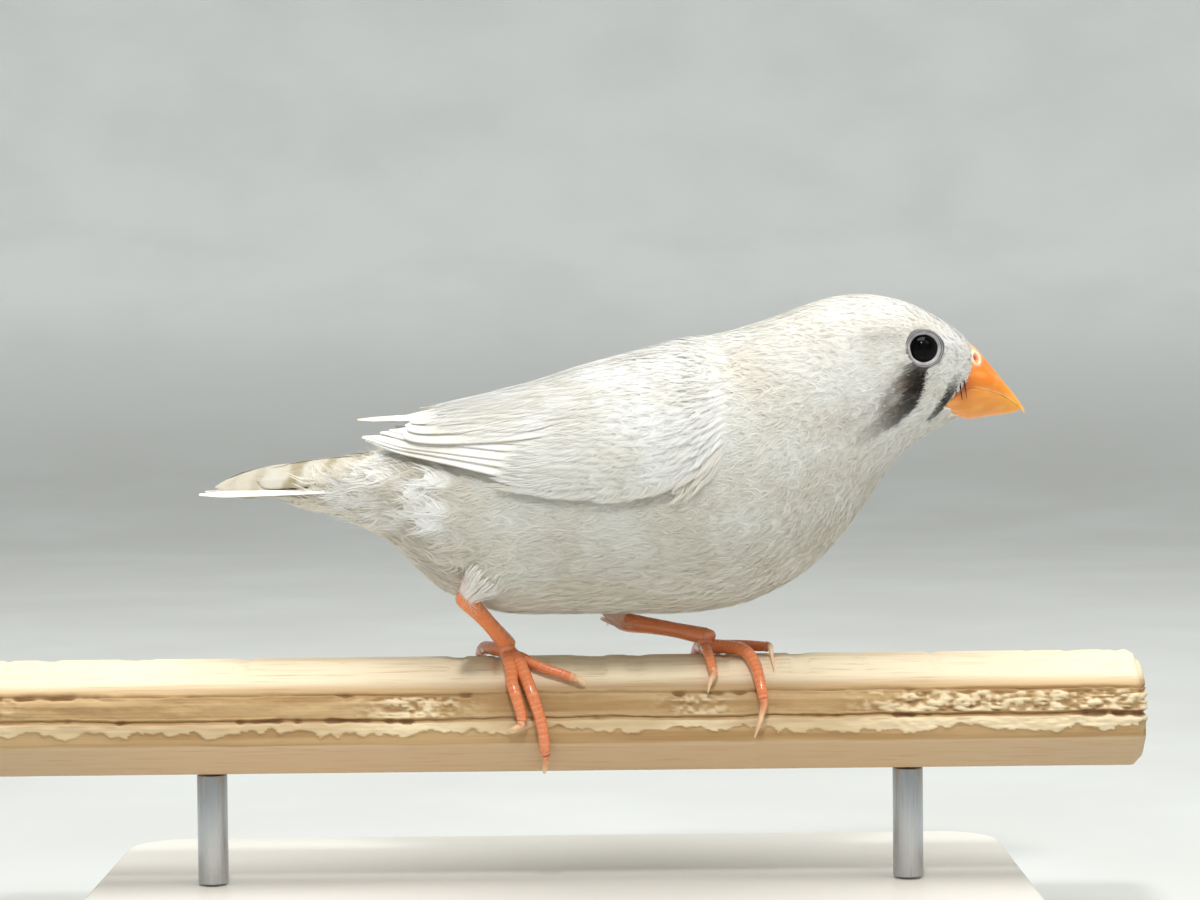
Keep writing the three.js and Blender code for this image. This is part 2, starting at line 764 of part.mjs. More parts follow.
function billSolids() {
  const [rim, pit, clear] = nostril();
  const upper = billShell(BILL_STATIONS.upper, 11, { crest: ridge, side: 1, lift: GAP / 2 })
    .add(rim)
    .add(flipped(rim))
    .subtract(pit)
    .subtract(flipped(pit));
  const lower = billShell(BILL_STATIONS.lower, 11, { crest: keel, side: -1, lift: GAP / 2 });
  const room = union([
    billShell(BILL_STATIONS.room, 8, { crest: ridge, side: 1, swell: GAP, lift: -GAP }),
    billShell(BILL_STATIONS.room, 8, { crest: keel, side: -1, swell: GAP, lift: -GAP }),
    clear,
    flipped(clear),
  ]);
  return { upper, lower, room };
}

// The ring of the lids round each eye, and the eye's own place under them
const eyeSpot = bodySpot(EYE.x, EYE.z);
const eyeCentre = eyeSpot.place.clone().addScaledVector(eyeSpot.outward, -EYE.depth);

function lids() {
  const middle = (LID.inner + LID.outer) / 2;
  const ring = new THREE.TorusGeometry(middle, (LID.outer - LID.inner) / 2, 4, 20);
  ring.scale(LID.stretch, 1, (2 * LID.height) / (LID.outer - LID.inner));
  const turn = new THREE.Quaternion().setFromUnitVectors(point(0, 0, 1), eyeSpot.outward);
  ring.applyQuaternion(turn);
  ring.translate(...eyeSpot.place.clone().addScaledVector(eyeSpot.outward, 0.05).toArray());
  return solid(ring);
}

// A toe's path over the perch through [x, degrees] places, held off the wood
function toePath(places, lift) {
  const flat = new THREE.CatmullRomCurve3(places.map(([x, degrees]) => point(x, degrees / 7, 0)));
  return flat.getSpacedPoints(14).map((p) => perchPlace(p.x, p.y * 7, lift));
}

const fromPerch = (p) => point(0, p.y, p.z - PERCH.axis).normalize();

// Rings of a scaled limb: each scute starts low and ends on a raised edge
function scuteRings(count, radiusAt, step) {
  const rings = [{ at: 0, radius: radiusAt(0) }];
  for (let i = 0; i < count; i++) {
    const from = (i + 0.12) / count;
    const to = (i + 1) / count;
    rings.push({ at: from, radius: radiusAt(from) });
    rings.push({ at: to, radius: radiusAt(to), plate: i + 1 < count ? step : 0 });
  }
  return rings.slice(1);
}

function makeToe(places, radius) {
  const path = toePath(places, GAP + radius * 1.06);
  const length = path.reduce((sum, p, i) => sum + (i ? p.distanceTo(path[i - 1]) : 0), 0);
  const count = Math.round(length / TOE.scute);
  const taper = (u) => radius * (1 - 0.22 * u);
  return tube(path, scuteRings(count, taper, TOE.plate), TOE.sides, fromPerch);
}

function makeClaw(name, { places, radius, claw }) {
  const path = toePath(places, GAP + radius * 1.06);
  const end = path[path.length - 1];
  const along = end.clone().sub(path[path.length - 2]).normalize();
  const start = end.clone().addScaledVector(along, CLAW.clearance);
  const last = places[places.length - 1];
  const middle = perchPlace(mix(last[0], claw[0], 0.5), mix(last[1], claw[1], 0.55), CLAW.arch);
  const curve = [start, middle, perchPlace(...claw, GAP + 0.12)];
  const rings = evenRings(CLAW.rings, (u) => CLAW.radius * (1 - 0.8 * u));
  node(name, tube(curve, rings, CLAW.sides, fromPerch), "claw");
}

// Each foot: the heel and the joint of the toes, the toes as [x, degrees] places over the perch, and
// where each claw ends
const HEEL_RADIUS = 1.35;
const feet = {
  right: {
    thigh: [point(-1, -8.5, 58), point(-5.4, -10.6, 52), point(-10.4, -11.4, 47)],
    thighRadii: [5.6, 4.8, 1.9],
    heel: point(-11.8, -11.6, 45.7),
    joint: point(-6.7, -3.2, 38.9),
    toes: {
      inner: { radius: 0.66, places: [[-6.4, 20], [-2.4, 37], [0.3, 45], [1.9, 50]], claw: [3.6, 57] },
      middle: {
        radius: 0.82,
        places: [[-6.6, 18], [-5.1, 34], [-3.9, 57], [-2.2, 92], [-1.7, 121]],
        claw: [-2.1, 156],
      },
      outer: {
        radius: 0.84,
        places: [[-6.9, 18], [-6.1, 43], [-5.9, 58], [-4.8, 83], [-4.8, 91]],
        claw: [-6.6, 99],
      },
      hind: {
        radius: 0.84,
        places: [[-6.6, 18], [-8.6, -2], [-10.2, -26], [-10.7, -54]],
        claw: [-10.2, -84],
      },
    },
  },
  left: {
    thigh: [point(-1, 9.5, 51), point(4, 8, 45), point(7.4, 6.6, 41.6)],
    thighRadii: [4.4, 3.3, 1.7],
    heel: point(8.9, 6, 40.7),
    joint: point(19.7, 0.6, 39.2),
    toes: {
      inner: { radius: 0.7, places: [[19.4, -2], [19.5, 18], [19.9, 34], [20.2, 46]], claw: [19.4, 66] },
      middle: {
        radius: 0.82,
        places: [[19.6, -2], [21.6, 2], [23.8, 16], [25.6, 37], [26.6, 75]],
        claw: [25.4, 108],
      },
      outer: {
        radius: 0.74,
        places: [[19.6, -4], [22, -13], [24.6, -13], [26.6, -5], [27.6, 4]],
        claw: [28.1, 40],
      },
      hind: { radius: 0.84, places: [[19.5, -4], [18.8, -22], [18.2, -44], [18, -64]], claw: [18.6, -94] },
    },
  },
};

function makeLeg(side, foot) {
  const middle = foot.heel.clone().lerp(foot.joint, 0.5).add(point(0, 0, 0.15));
  const girth = (u) => SHANK.radius * (1.12 - 0.16 * Math.sin(Math.PI * u));
  const rings = scuteRings(SHANK.scutes, girth, SHANK.plate);
  const front = () => point(1, 0, 0.6).normalize();
  const shank = tube([foot.heel, middle, foot.joint], rings, SHANK.sides, front);
  const knuckle = ball(foot.joint, HEEL_RADIUS, point(1, 1, 0.9), 10);
  const heel = ball(foot.heel, HEEL_RADIUS, point(1, 1, 1), 10);
  const toes = Object.values(foot.toes).map(({ places, radius }) => makeToe(places, radius));
  node("leg_" + side, union([shank, knuckle, heel, ...toes]), "leg");
  for (const [name, toe] of Object.entries(foot.toes)) makeClaw("claw_" + side + "_" + name, toe);
}

function thighSolid(foot, swell) {
  const radius = profile(foot.thighRadii.map((r, i) => [i / 2, r + swell]));
  return tube(foot.thigh, evenRings(6, radius), 14, () => point(1, 0, 0));
}

function heelRoom(foot) {
  return union([
    ball(foot.heel, HEEL_RADIUS + GAP, point(1, 1, 1), 10),
    tube([foot.heel, foot.joint], evenRings(1, () => SHANK.radius * 1.15 + GAP), 10),
  ]);
}

makePerch();
makeStand();
makeTail();

makeWing("wing_right", wings.right);
makeWing("wing_left", wings.left);
const bed = (wing) => {
  const deep = -WING.depth - WING.clearance;
  return wingPlate(wing, deep, 8, WING.clearance, [-30, -24, -18, -12, -7, -1, ...SHOULDER, 24]);
};
const beds = bed(wings.right).add(bed(wings.left));

const rooms = [beds];
for (const [side, foot] of Object.entries(feet)) {
  makeLeg(side, foot);
  const heel = heelRoom(foot);
  node("thigh_" + side, thighSolid(foot, 0).subtract(heel).subtract(beds), "plumage");
  rooms.push(thighSolid(foot, GAP), heel);
}
node("torso", bodyLength(0, PART_AT.torso, STEPS.torso).subtract(union(rooms)), "plumage");
const neckFrom = PART_AT.torso + 2 * partingHalf(PART_AT.torso);
node("neck", bodyLength(neckFrom, PART_AT.neck, STEPS.neck), "plumage");

const bill = billSolids();
const eyeRoom = ball(eyeCentre, EYE.radius + GAP, undefined, 14);
const eyeBall = ball(eyeCentre, EYE.radius, undefined, 14);
const lid = lids();
const headFrom = PART_AT.neck + 2 * partingHalf(PART_AT.neck);
node(
  "head",
  bodyLength(headFrom, LAST, STEPS.head)
    .add(lid)
    .add(flipped(lid))
    .subtract(eyeRoom)
    .subtract(flipped(eyeRoom))
    .subtract(bill.room),
  "plumage",
);
node("eye_right", eyeBall, "eye");
node("eye_left", flipped(eyeBall), "eye");
node("bill_upper", bill.upper, "bill");
node("bill_lower", bill.lower, "bill");

export default finch;
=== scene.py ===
"""A zebra finch of the white kind at life size, gripping a cut length of dowel on a plain display stand.

Sizes in the tables and functions are millimetres in the frame's own axes: the bird looks along +X, its
right side faces -Y and +Z is up. They become metres when a mesh is made.
"""

import math

import bmesh
import bpy
import numpy as np
from bpy.props import FloatProperty, FloatVectorProperty, IntProperty, PointerProperty
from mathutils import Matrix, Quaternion, Vector
from mathutils.bvhtree import BVHTree


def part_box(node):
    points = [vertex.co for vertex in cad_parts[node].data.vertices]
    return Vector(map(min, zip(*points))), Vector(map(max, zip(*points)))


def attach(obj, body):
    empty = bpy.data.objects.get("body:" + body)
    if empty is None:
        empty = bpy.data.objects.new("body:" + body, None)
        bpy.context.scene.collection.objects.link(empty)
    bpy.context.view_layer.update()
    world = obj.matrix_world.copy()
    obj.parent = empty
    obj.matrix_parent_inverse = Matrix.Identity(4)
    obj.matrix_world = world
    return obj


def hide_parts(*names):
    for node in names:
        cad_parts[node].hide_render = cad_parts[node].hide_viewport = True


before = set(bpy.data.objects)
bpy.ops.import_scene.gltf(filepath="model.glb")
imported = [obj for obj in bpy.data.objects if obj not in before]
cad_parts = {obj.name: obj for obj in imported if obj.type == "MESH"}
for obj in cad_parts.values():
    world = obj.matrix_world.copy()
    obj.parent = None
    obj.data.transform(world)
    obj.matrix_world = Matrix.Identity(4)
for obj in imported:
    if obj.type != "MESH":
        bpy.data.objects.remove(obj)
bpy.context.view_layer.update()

bl_info = {
    "name": "Zebra finch on a perch",
    "version": (1, 0, 0),
    "blender": (4, 5, 0),
    "location": "3D View > Sidebar > Finch",
    "description": "Builds a white zebra finch, its perch and its stand round the packed frame",
    "category": "Add Mesh",
}

MM = 0.001
DEGREE = math.pi / 180
SIDES = {"right": 1, "left": -1}


# Numbers and curves


def mix(a, b, t):
    return a + (b - a) * t


def ease(v):
    v = np.clip(v, 0, 1)
    return v * v * (3 - 2 * v)


def power(v, exponent):
    return np.sign(v) * np.abs(v) ** exponent


def unit(vectors):
    return vectors / np.maximum(np.linalg.norm(vectors, axis=-1, keepdims=True), 1e-9)


def stack(x, y, z):
    return np.stack(np.broadcast_arrays(x, y, z), axis=-1).astype(float)


def profile(pairs):
    """A smooth curve through (position, value) pairs, straight beyond its ends."""
    at, value = np.array(pairs, float).T
    last = len(at) - 1
    before = np.maximum(np.arange(last + 1) - 1, 0)
    after = np.minimum(np.arange(last + 1) + 1, last)
    tangent = (value[after] - value[before]) / (at[after] - at[before])

    def curve(x):
        x = np.asarray(x, float)
        i = np.clip(np.searchsorted(at, x) - 1, 0, last - 1)
        span = at[i + 1] - at[i]
        t = np.clip((x - at[i]) / span, 0, 1)
        s = 1 - t
        inside = value[i] * (1 + 2 * t) * s * s + value[i + 1] * (3 - 2 * t) * t * t
        inside = inside + span * (tangent[i] * t * s * s - tangent[i + 1] * s * t * t)
        before_first = np.minimum(x - at[0], 0) * tangent[0]
        past_last = np.maximum(x - at[-1], 0) * tangent[-1]
        return inside + before_first + past_last

    return curve


def along_line(points, t):
    """Places on a smooth curve through a few points, at shares t of its count of spans."""
    points = np.array(points, float)
    knots = np.arange(len(points))
    t = np.asarray(t, float) * (len(points) - 1)
    return np.stack([profile(list(zip(knots, points[:, k])))(t) for k in range(3)], axis=-1)


def waves(places, scale, seed):
    """Smooth noise from about -1 to 1 at places, its lumps about one scale across."""
    rng = np.random.default_rng(seed)
    total = np.zeros(places.shape[:-1])
    for _ in range(7):
        way = unit(rng.normal(size=3)) * 2 * math.pi / scale * rng.uniform(0.35, 0.8)
        total += np.sin(places @ way + rng.uniform(0, 2 * math.pi))
    return total / 3.2


def grain(places, scale, seed):
    """Random values from -1 to 1 that change smoothly between points one scale apart."""
    cells = places / scale
    base = np.floor(cells).astype(np.int64)
    share = cells - base
    share = share * share * (3 - 2 * share)
    total = np.zeros(places.shape[:-1])
    for corner in np.ndindex(2, 2, 2):
        at = base + corner
        key = (at[..., 0] * 73856093) ^ (at[..., 1] * 19349663) ^ (at[..., 2] * 83492791) ^ (seed * 961748927)
        key = ((key ^ (key >> 13)) * 1274126177) & 0xFFFFFFFF
        value = ((key ^ (key >> 15)) & 0xFFFF) / 32767.5 - 1
        total += value * np.prod(np.where(corner, share, 1 - share), axis=-1)
    return total


# The body's outline: each station has a point on the back, one on the breast and belly, the half width
# between them, and how far up from the lower point the body is widest.
OUTLINE = [
    (-27.3, 63.5, -26.6, 55.4, 6.0, 0.5),
    (-20.6, 65.9, -21.4, 52.4, 9.2, 0.52),
    (-13.9, 68.2, -15.4, 46.2, 12.6, 0.5),
    (-7.3, 71.0, -7.8, 42.9, 15.2, 0.48),
    (0.6, 73.9, 0.3, 42.5, 16.9, 0.48),
    (8.5, 76.4, 8.5, 42.5, 17.7, 0.48),
    (16.4, 78.3, 16.8, 42.5, 17.8, 0.48),
    (21.9, 79.4, 24.8, 43.8, 17.0, 0.49),
    (26.6, 80.7, 31.6, 47.1, 15.3, 0.5),
    (29.9, 81.8, 36.1, 50.9, 13.2, 0.52),
    (32.8, 82.9, 39.7, 55.4, 11.3, 0.54),
    (35.8, 83.8, 42.4, 59.4, 9.9, 0.56),
    (39.4, 84.3, 45.0, 62.7, 9.0, 0.58),
    (43.2, 84.0, 47.6, 64.8, 8.3, 0.6),
    (46.9, 82.9, 49.8, 66.2, 7.4, 0.62),
    (50.3, 81.1, 51.6, 67.1, 6.3, 0.66),
    (52.8, 79.4, 53.0, 67.7, 5.1, 0.68),
    (54.4, 77.9, 54.2, 68.1, 4.1, 0.68),
    (55.0, 76.4, 54.8, 69.3, 2.9, 0.66),
]
LAST_STATION = len(OUTLINE) - 1
FULLNESS = 0.92
back_x, back_z, belly_x, belly_z, body_half, body_widest = (
    profile([(i, row[k]) for i, row in enumerate(OUTLINE)]) for k in range(6)
)


def body_place(s, angle):
    """A place on the body: s counts stations from the tail, the angle runs from the back down the right."""
    widest = body_widest(s)
    rise = power(np.cos(angle), FULLNESS)
    share = np.where(rise > 0, widest + (1 - widest) * rise, widest * (1 + rise))
    y = -body_half(s) * power(np.sin(angle), FULLNESS)
    return stack(mix(belly_x(s), back_x(s), share), y, mix(belly_z(s), back_z(s), share))


# The tail's root, as place along the body, half width, and the sinking of its top and rise of its underside
TAIL_ROOT = [
    (-24, 6.6, 0, 0),
    (-27.6, 5.7, 0, 0),
    (-31, 4.8, 0.5, 0.9),
    (-35, 3.9, 1.0, 1.6),
    (-38, 2.8, 1.3, 0.5),
]
tail_half, tail_sunk, tail_raised = (
    profile([(row[0], row[k]) for row in TAIL_ROOT[::-1]]) for k in (1, 2, 3)
)
tail_top = profile([(-44.8, 59.9), (-42.4, 60.9), (-37.7, 62.1), (-33.8, 62.8), (-27.6, 63.2)])
rump = profile([(-28, 62.7), (-20.6, 65.2), (-13.9, 67.5), (-7.3, 70.3)])
tail_under = profile([(-38, 58.3), (-34, 57.2), (-31, 56.4), (-27.6, 55.9)])

# Each foot: the thigh's line and radii, the heel, the joint of the toes, and each toe's radius, its places
# as (x, degrees round the perch) and where its claw ends
FEET = {
    "right": {
        "thigh": [(-1, -8.5, 58), (-5.4, -10.6, 52), (-10.4, -11.4, 47)],
        "thigh_radii": [(0, 5.6), (0.5, 4.8), (1, 1.9)],
        "heel": (-11.8, -11.6, 45.7),
        "joint": (-6.7, -3.2, 38.9),
        "toes": {
            "inner": (0.66, [(-6.4, 20), (-2.4, 37), (0.3, 45), (1.9, 50)], (3.6, 57)),
            "middle": (0.82, [(-6.6, 18), (-5.1, 34), (-3.9, 57), (-2.2, 92), (-1.7, 121)], (-2.1, 156)),
            "outer": (0.84, [(-6.9, 18), (-6.1, 43), (-5.9, 58), (-4.8, 83), (-4.8, 91)], (-6.6, 99)),
            "hind": (0.84, [(-6.6, 18), (-8.6, -2), (-10.2, -26), (-10.7, -54)], (-10.2, -84)),
        },
    },
    "left": {
        "thigh": [(-1, 9.5, 51), (4, 8, 45), (7.4, 6.6, 41.6)],
        "thigh_radii": [(0, 3.6), (0.5, 1.5), (1, 1.2)],
        "heel": (8.9, 6, 40.7),
        "joint": (19.7, 0.6, 39.2),
        "toes": {
            "inner": (0.7, [(19.4, -2), (19.5, 18), (19.9, 34), (20.2, 46)], (19.4, 66)),
            "middle": (0.82, [(19.6, -2), (21.6, 2), (23.8, 16), (25.6, 37), (26.6, 75)], (25.4, 108)),
            "outer": (0.74, [(19.6, -4), (22, -13), (24.6, -13), (26.6, -5), (27.6, 4)], (28.1, 40)),
            "hind": (0.84, [(19.5, -4), (18.8, -22), (18.2, -44), (18, -64)], (18.6, -94)),
        },
    },
}

# The cloak on which the folded wings lie: place along the body, height on the back, half width, and the
# height at which it is widest
CLOAK = [
    (-26, 68.6, 5.6, 63.6),
    (-20, 69.4, 9.0, 62.0),
    (-14, 70.6, 12.8, 60.6),
    (-4, 72.9, 16.6, 59.0),
    (6, 75.9, 18.2, 58.6),
    (16.4, 78.6, 18.4, 59.5),
    (27, 81.2, 16.2, 62.5),
]
cloak_back, cloak_half, cloak_level = (profile([(row[0], row[k]) for row in CLOAK]) for k in (1, 2, 3))
lower_edge = profile(
    [(-25, 66.2), (-22, 65.4), (-14.5, 62.9), (-9.4, 61.4), (-4.4, 59.6), (0.6, 58.4), (4.4, 57.9)]
    + [(8.2, 58.2), (12.5, 59.2), (17, 61.2), (21, 64.6), (24, 69)]
)
bare_back = profile([(-25, 4.0), (-20, 1.6), (-14, 0.9), (-2, 1.2), (10, 4.2), (20, 7.2), (24, 9)])

# The two wings: their side, and how far the tip is raised and drawn back
WINGS = {"right": (1, 0, 0), "left": (-1, 1.75, 2.0)}


def cloak_place(wing, x, angle, lift=0.0):
    """A place on a wing's side of the cloak, at an angle from the back and lifted off the surface."""
    side, raised, reach = WINGS[wing]
    rear = ease((-13 - x) / 11)
    y = -cloak_half(x) * power(np.sin(angle), FULLNESS)
    z = mix(cloak_level(x), cloak_back(x), power(np.cos(angle), FULLNESS))
    depth = cloak_back(x) - cloak_level(x)
    away = unit(stack(0 * x, -np.sin(angle) / cloak_half(x), np.cos(angle) / depth))
    place = stack(x, y, z) + away * np.asarray(lift)[..., None]
    return stack(place[..., 0] - reach * rear, place[..., 1] * side, place[..., 2] + raised * rear)


def angle_at_height(x, z):
    share = np.clip((z - cloak_level(x)) / (cloak_back(x) - cloak_level(x)), 0, 1)
    return np.arccos(share ** (1 / FULLNESS))


def angle_at_half(x, y):
    return np.arcsin(np.clip(y / cloak_half(x), 0, 1) ** (1 / FULLNESS))


def cloak_girth(x):
    return (cloak_half(x) + cloak_back(x) - cloak_level(x)) / 2


def angle_at_rise(x, rise):
    return angle_at_height(x, lower_edge(x)) - rise / cloak_girth(x)


def wing_cover(places):
    """How far each place on the body lies inside the folded wing's outline."""
    x, y, z = places.T
    across = np.clip(np.abs(y) / cloak_half(x), 0, 1) ** (1 / FULLNESS)
    up = power(np.clip((z - cloak_level(x)) / (cloak_back(x) - cloak_level(x)), -1, 1), 1 / FULLNESS)
    angle = np.arctan2(across, up)
    above = (angle_at_rise(x, 0) - angle) * cloak_girth(x)
    aside = (angle - angle_at_half(x, bare_back(x))) * cloak_girth(x)
    return np.min([above, aside, 21.5 - x, x + 26], axis=0)


# The coat, by place along the body: how deep it lies, how far apart its feathers stand and how long they are
coat_depth = profile(
    [(-38, 0.55), (-26, 0.75), (-12, 0.75), (10, 0.6), (34, 0.5), (44, 0.38), (51, 0.28), (56, 0.2)]
)
coat_spacing = profile([(-38, 0.9), (0, 0.95), (24, 0.88), (34, 0.72), (42, 0.56), (48, 0.43), (56, 0.34)])
coat_length = profile(
    [(-38, 5.0), (-20, 5.6), (0, 5.4), (24, 4.8), (34, 3.8), (42, 2.8), (48, 1.7), (56, 1.0)]
)

BILL_ROOT = np.array([58.0, 0.0, 73.0])
EYE = {"x": 47.8, "z": 77.1, "radius": 2.35, "depth": 2.05}
LID = {"inner": 1.76, "outer": 2.5}


def eye_spot(side):
    """The place and outward direction on the body's outline where the eye is seen."""
    s, angle = np.meshgrid(np.linspace(11, 18, 700), np.linspace(0.3, 2.2, 500))
    places = body_place(s, angle)
    off = np.hypot(places[..., 0] - EYE["x"], places[..., 2] - EYE["z"])
    i = np.unravel_index(np.argmin(off), off.shape)
    place = places[i]
    forward = body_place(s[i] + 0.02, angle[i]) - place
    down = body_place(s[i], angle[i] + 0.02) - place
    outward = unit(np.cross(down, forward))
    turned = np.array([1, side, 1])
    return place * turned, unit(outward + (0, -1, 0)) * turned


EYES = {name: eye_spot(side) for name, side in SIDES.items()}


def lie(places, outward):
    """The direction in which the feathers lie at places on the skin."""
    x, _, z = places.T
    way = stack(-1.0, 0.0 * x, -0.55 * ease((x - 18) / 14) * ease((78 - z) / 14))
    head = ease((x - 34) / 9)[:, None]
    spread = unit(places - BILL_ROOT) + np.array([0, 0, -0.18])
    way = unit(mix(way, spread, head))
    for spot, _ in EYES.values():
        away = places - spot
        near = np.exp(-((np.linalg.norm(away, axis=1) / 4.2) ** 2))[:, None]
        way = way + unit(away) * near * 0.9
    for foot in FEET.values():
        knee, heel = np.array(foot["thigh"][1], float), np.array(foot["heel"], float)
        line = heel - knee
        t = np.clip((places - knee) @ line / (line @ line), 0, 1.0)
        off = np.linalg.norm(places - knee - t[:, None] * line, axis=1)
        way = mix(way, unit(line)[None], (np.exp(-((off / 4.5) ** 4)) * ease((t - 0.05) / 0.5))[:, None])
    way = way - outward * np.sum(way * outward, axis=1, keepdims=True)
    return unit(way)


# Markings and painted shade, shared by the skin and the coat. The tear mark's front edge and the bar by the
# bill are lines of (x, z) as seen from the side, each with the width there and how dark it is.
TEAR = [
    (48.5, 75.2, 4.4, 0.8),
    (48.2, 73.6, 5.1, 1.0),
    (48.0, 72.2, 5.7, 1.0),
    (47.7, 70.9, 5.8, 1.0),
    (46.7, 69.5, 5.5, 0.97),
    (45.5, 68.2, 5.0, 0.9),
    (44.0, 67.0, 4.4, 0.75),
    (42.3, 66.0, 3.4, 0.5),
    (40.4, 65.2, 2.4, 0.25),
]
BILL_BAR = [
    (52.1, 73.0, 0.9, 0.25),
    (51.3, 71.3, 0.95, 0.9),
    (50.5, 70.0, 0.85, 0.95),
    (49.7, 68.9, 0.6, 0.85),
    (48.6, 67.8, 0.35, 0.6),
]


def beside_line(places, line):
    """Each place's distance behind a line of (x, z, width, dark) in side view, and width and dark there."""
    line = np.array(line, float)
    points = places[:, [0, 2]]
    best = np.full(len(points), 1e9)
    found = np.zeros((len(points), 3))
    for a, b in zip(line, line[1:]):
        step = b[:2] - a[:2]
        t = (points - a[:2]) @ step / (step @ step)
        t = np.clip(t, 0, 1)
        gap = points - a[:2] - t[:, None] * step
        far = np.linalg.norm(gap, axis=1)
        behind = np.where(gap[:, 0] * step[1] - gap[:, 1] * step[0] > 0, far, -far)
        closer = far < best
        best = np.where(closer, far, best)
        values = np.stack([behind, mix(a[2], b[2], t), mix(a[3], b[3], t)], axis=1)
        found = np.where(closer[:, None], values, found)
    return found.T


def linear(colour):
    """The linear values of an sRGB hex colour."""
    values = np.array([int(colour[i : i + 2], 16) / 255 for i in (1, 3, 5)])
    return np.where(values <= 0.04045, values / 12.92, ((values + 0.055) / 1.055) ** 2.4)


def tone(name):
    """One of the colours that the user can set, in linear values."""
    return np.array(getattr(bpy.context.scene.finch_colours, name))


def markings(places):
    """The plumage's colour at places, with painted shade and a painted reflection of the dowel among its
    marks.
    """
    flat = places.reshape(-1, 3)
    x, y, z = flat.T
    colour = mix(tone("white"), linear("#E9E7DF"), (0.7 * ease((42 - x) / 14))[:, None])
    # Painted shade: a greyish beige that deepens towards the belly and lower breast, where the plumage shades
    # itself
    colour = mix(colour, linear("#DDD9CB"), (0.2 * ease((64 - z) / 14) * ease((44 - x) / 8))[:, None])
    # A cream wash behind and low down; the low part stands for warm light thrown up from the dowel, a painted
    # reflection
    warm = ease((-8 - x) / 14) * 0.35 + ease((50 - z) / 8) * 0.25
    colour = mix(colour, tone("cream"), warm[:, None])
    side = ease((np.abs(y) - 2.6) / 1.6)
    behind, width, dark = beside_line(flat, TEAR)
    ragged = waves(flat, 1.3, 3)
    # Streaks that run down and back, as the feathers lie there
    streak = grain(stack((0.66 * x - 0.75 * z) / 0.42, y / 2, (0.75 * x + 0.66 * z) / 2.4), 1.0, 6)
    share = behind / width
    front = ease((behind + 0.1 + 0.22 * ragged) / 0.3)
    inside = front * (1 - ease((share - 0.48 + 0.1 * ragged + 0.14 * streak) / 0.5))
    dark = np.clip(inside * dark * ease((76.0 - z) / 1.2) * side, 0, 1)
    brown = ease((share - 0.1 + 0.12 * streak) / 0.7 + (70 - z) * 0.06)
    tear = mix(tone("tear"), tone("tear_edge"), brown[:, None])
    colour = mix(colour, tear, dark[:, None])
    # Fine brown-grey streaks spread behind it over the cheek
    haze = ease((behind - 2.0) / 1.5) * (1 - ease((behind - 4.0) / 3.0))
    haze = haze * ease((74.5 - z) / 2) * ease((z - 65.5) / 2)
    colour = mix(colour, tone("tear_edge"), (0.3 * haze * ease(0.5 + streak) * side)[:, None])
    # Fine grey flecks over the face, painted shade for the dark gaps between its small feathers
    face_gap_shade = ease(1.5 * grain(flat, 0.6, 9) - 0.2) * ease((x - 43) / 4)
    colour = mix(colour, linear("#A8A29D"), (0.3 * face_gap_shade)[:, None])
    # Painted shade: beige under the wings' tips, where the folded wings shade the rump
    under = ease((lower_edge(x) - z) / 0.5) * (1 - ease((lower_edge(x) - z - 0.8) / 3.2))
    colour = mix(colour, linear("#B9AE92"), (0.6 * under * ease((-13.5 - x) / 5.0))[:, None])
    for foot in FEET.values():
        off = np.linalg.norm(flat - np.array(foot["heel"], float), axis=1)
        colour = mix(colour, linear("#EDB9A0"), (0.6 * np.exp(-((off / 2.6) ** 2)))[:, None])
    # Painted shade: grey in the fold behind the eye
    fold = np.exp(-(((z - 78.6 - 0.1 * (x - 42)) / 0.8) ** 2))
    fold = fold * ease((x - 37) / 4) * ease((45.6 - x) / 1.5) * side
    colour = mix(colour, linear("#B9B7B2"), (0.4 * fold)[:, None])
    behind, width, dark = beside_line(flat, BILL_BAR)
    inside = 1 - ease((np.abs(behind) - 0.45 * width) / 0.35)
    colour = mix(colour, tone("tear"), (inside * dark * ease((np.abs(y) - 1.5) / 1.0))[:, None])
    return colour.reshape(places.shape)


# The unwrap of the skin's own shape: along the body's middle line, and round it
MIDDLE = np.array([(-46, 60.5), (-24, 59.5), (10, 60), (28, 64), (41, 72), (60, 72)], float)


def unwrap(places):
    """Where places lie on the unwrapped skin, each way from 0 to 1."""
    best = np.full(len(places), 1e9)
    along = np.zeros(len(places))
    turn = np.zeros(len(places))
    lengths = np.linalg.norm(np.diff(MIDDLE, axis=0), axis=1)
    before = 0.0
    for a, b, length in zip(MIDDLE, MIDDLE[1:], lengths):
        way = (b - a) / length
        t = np.clip((places[:, [0, 2]] - a) @ way, 0, length)
        gap = places[:, [0, 2]] - a - t[:, None] * way
        height = gap[:, 1] * way[0] - gap[:, 0] * way[1]
        far = np.linalg.norm(gap, axis=1)
        closer = far < best
        best = np.where(closer, far, best)
        along = np.where(closer, (before + t) / lengths.sum(), along)
        turn = np.where(closer, np.arctan2(places[:, 1], height) / (2 * math.pi) + 0.5, turn)
        before += length
    return np.stack([0.02 + 0.95 * along, 0.02 + 0.95 * turn], axis=1)


# Meshes


def finish_mesh(name, mesh, material, replaced=(), smooth=True):
    """An object at the origin that rides on the bird and stands for the named nodes."""
    piece = bpy.data.objects.new(name, mesh)
    bpy.context.scene.collection.objects.link(piece)
    mesh.materials.append(material)
    mesh.polygons.foreach_set("use_smooth", [smooth] * len(mesh.polygons))
    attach(piece, "root")
    if replaced:
        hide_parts(*replaced)
    return piece


def to_mesh(name, bm):
    """A bmesh in millimetres as a mesh in metres."""
    bmesh.ops.scale(bm, vec=(MM, MM, MM), verts=bm.verts)
    bmesh.ops.recalc_face_normals(bm, faces=bm.faces)
    mesh = bpy.data.meshes.new(name)
    bm.to_mesh(mesh)
    bm.free()
    return mesh


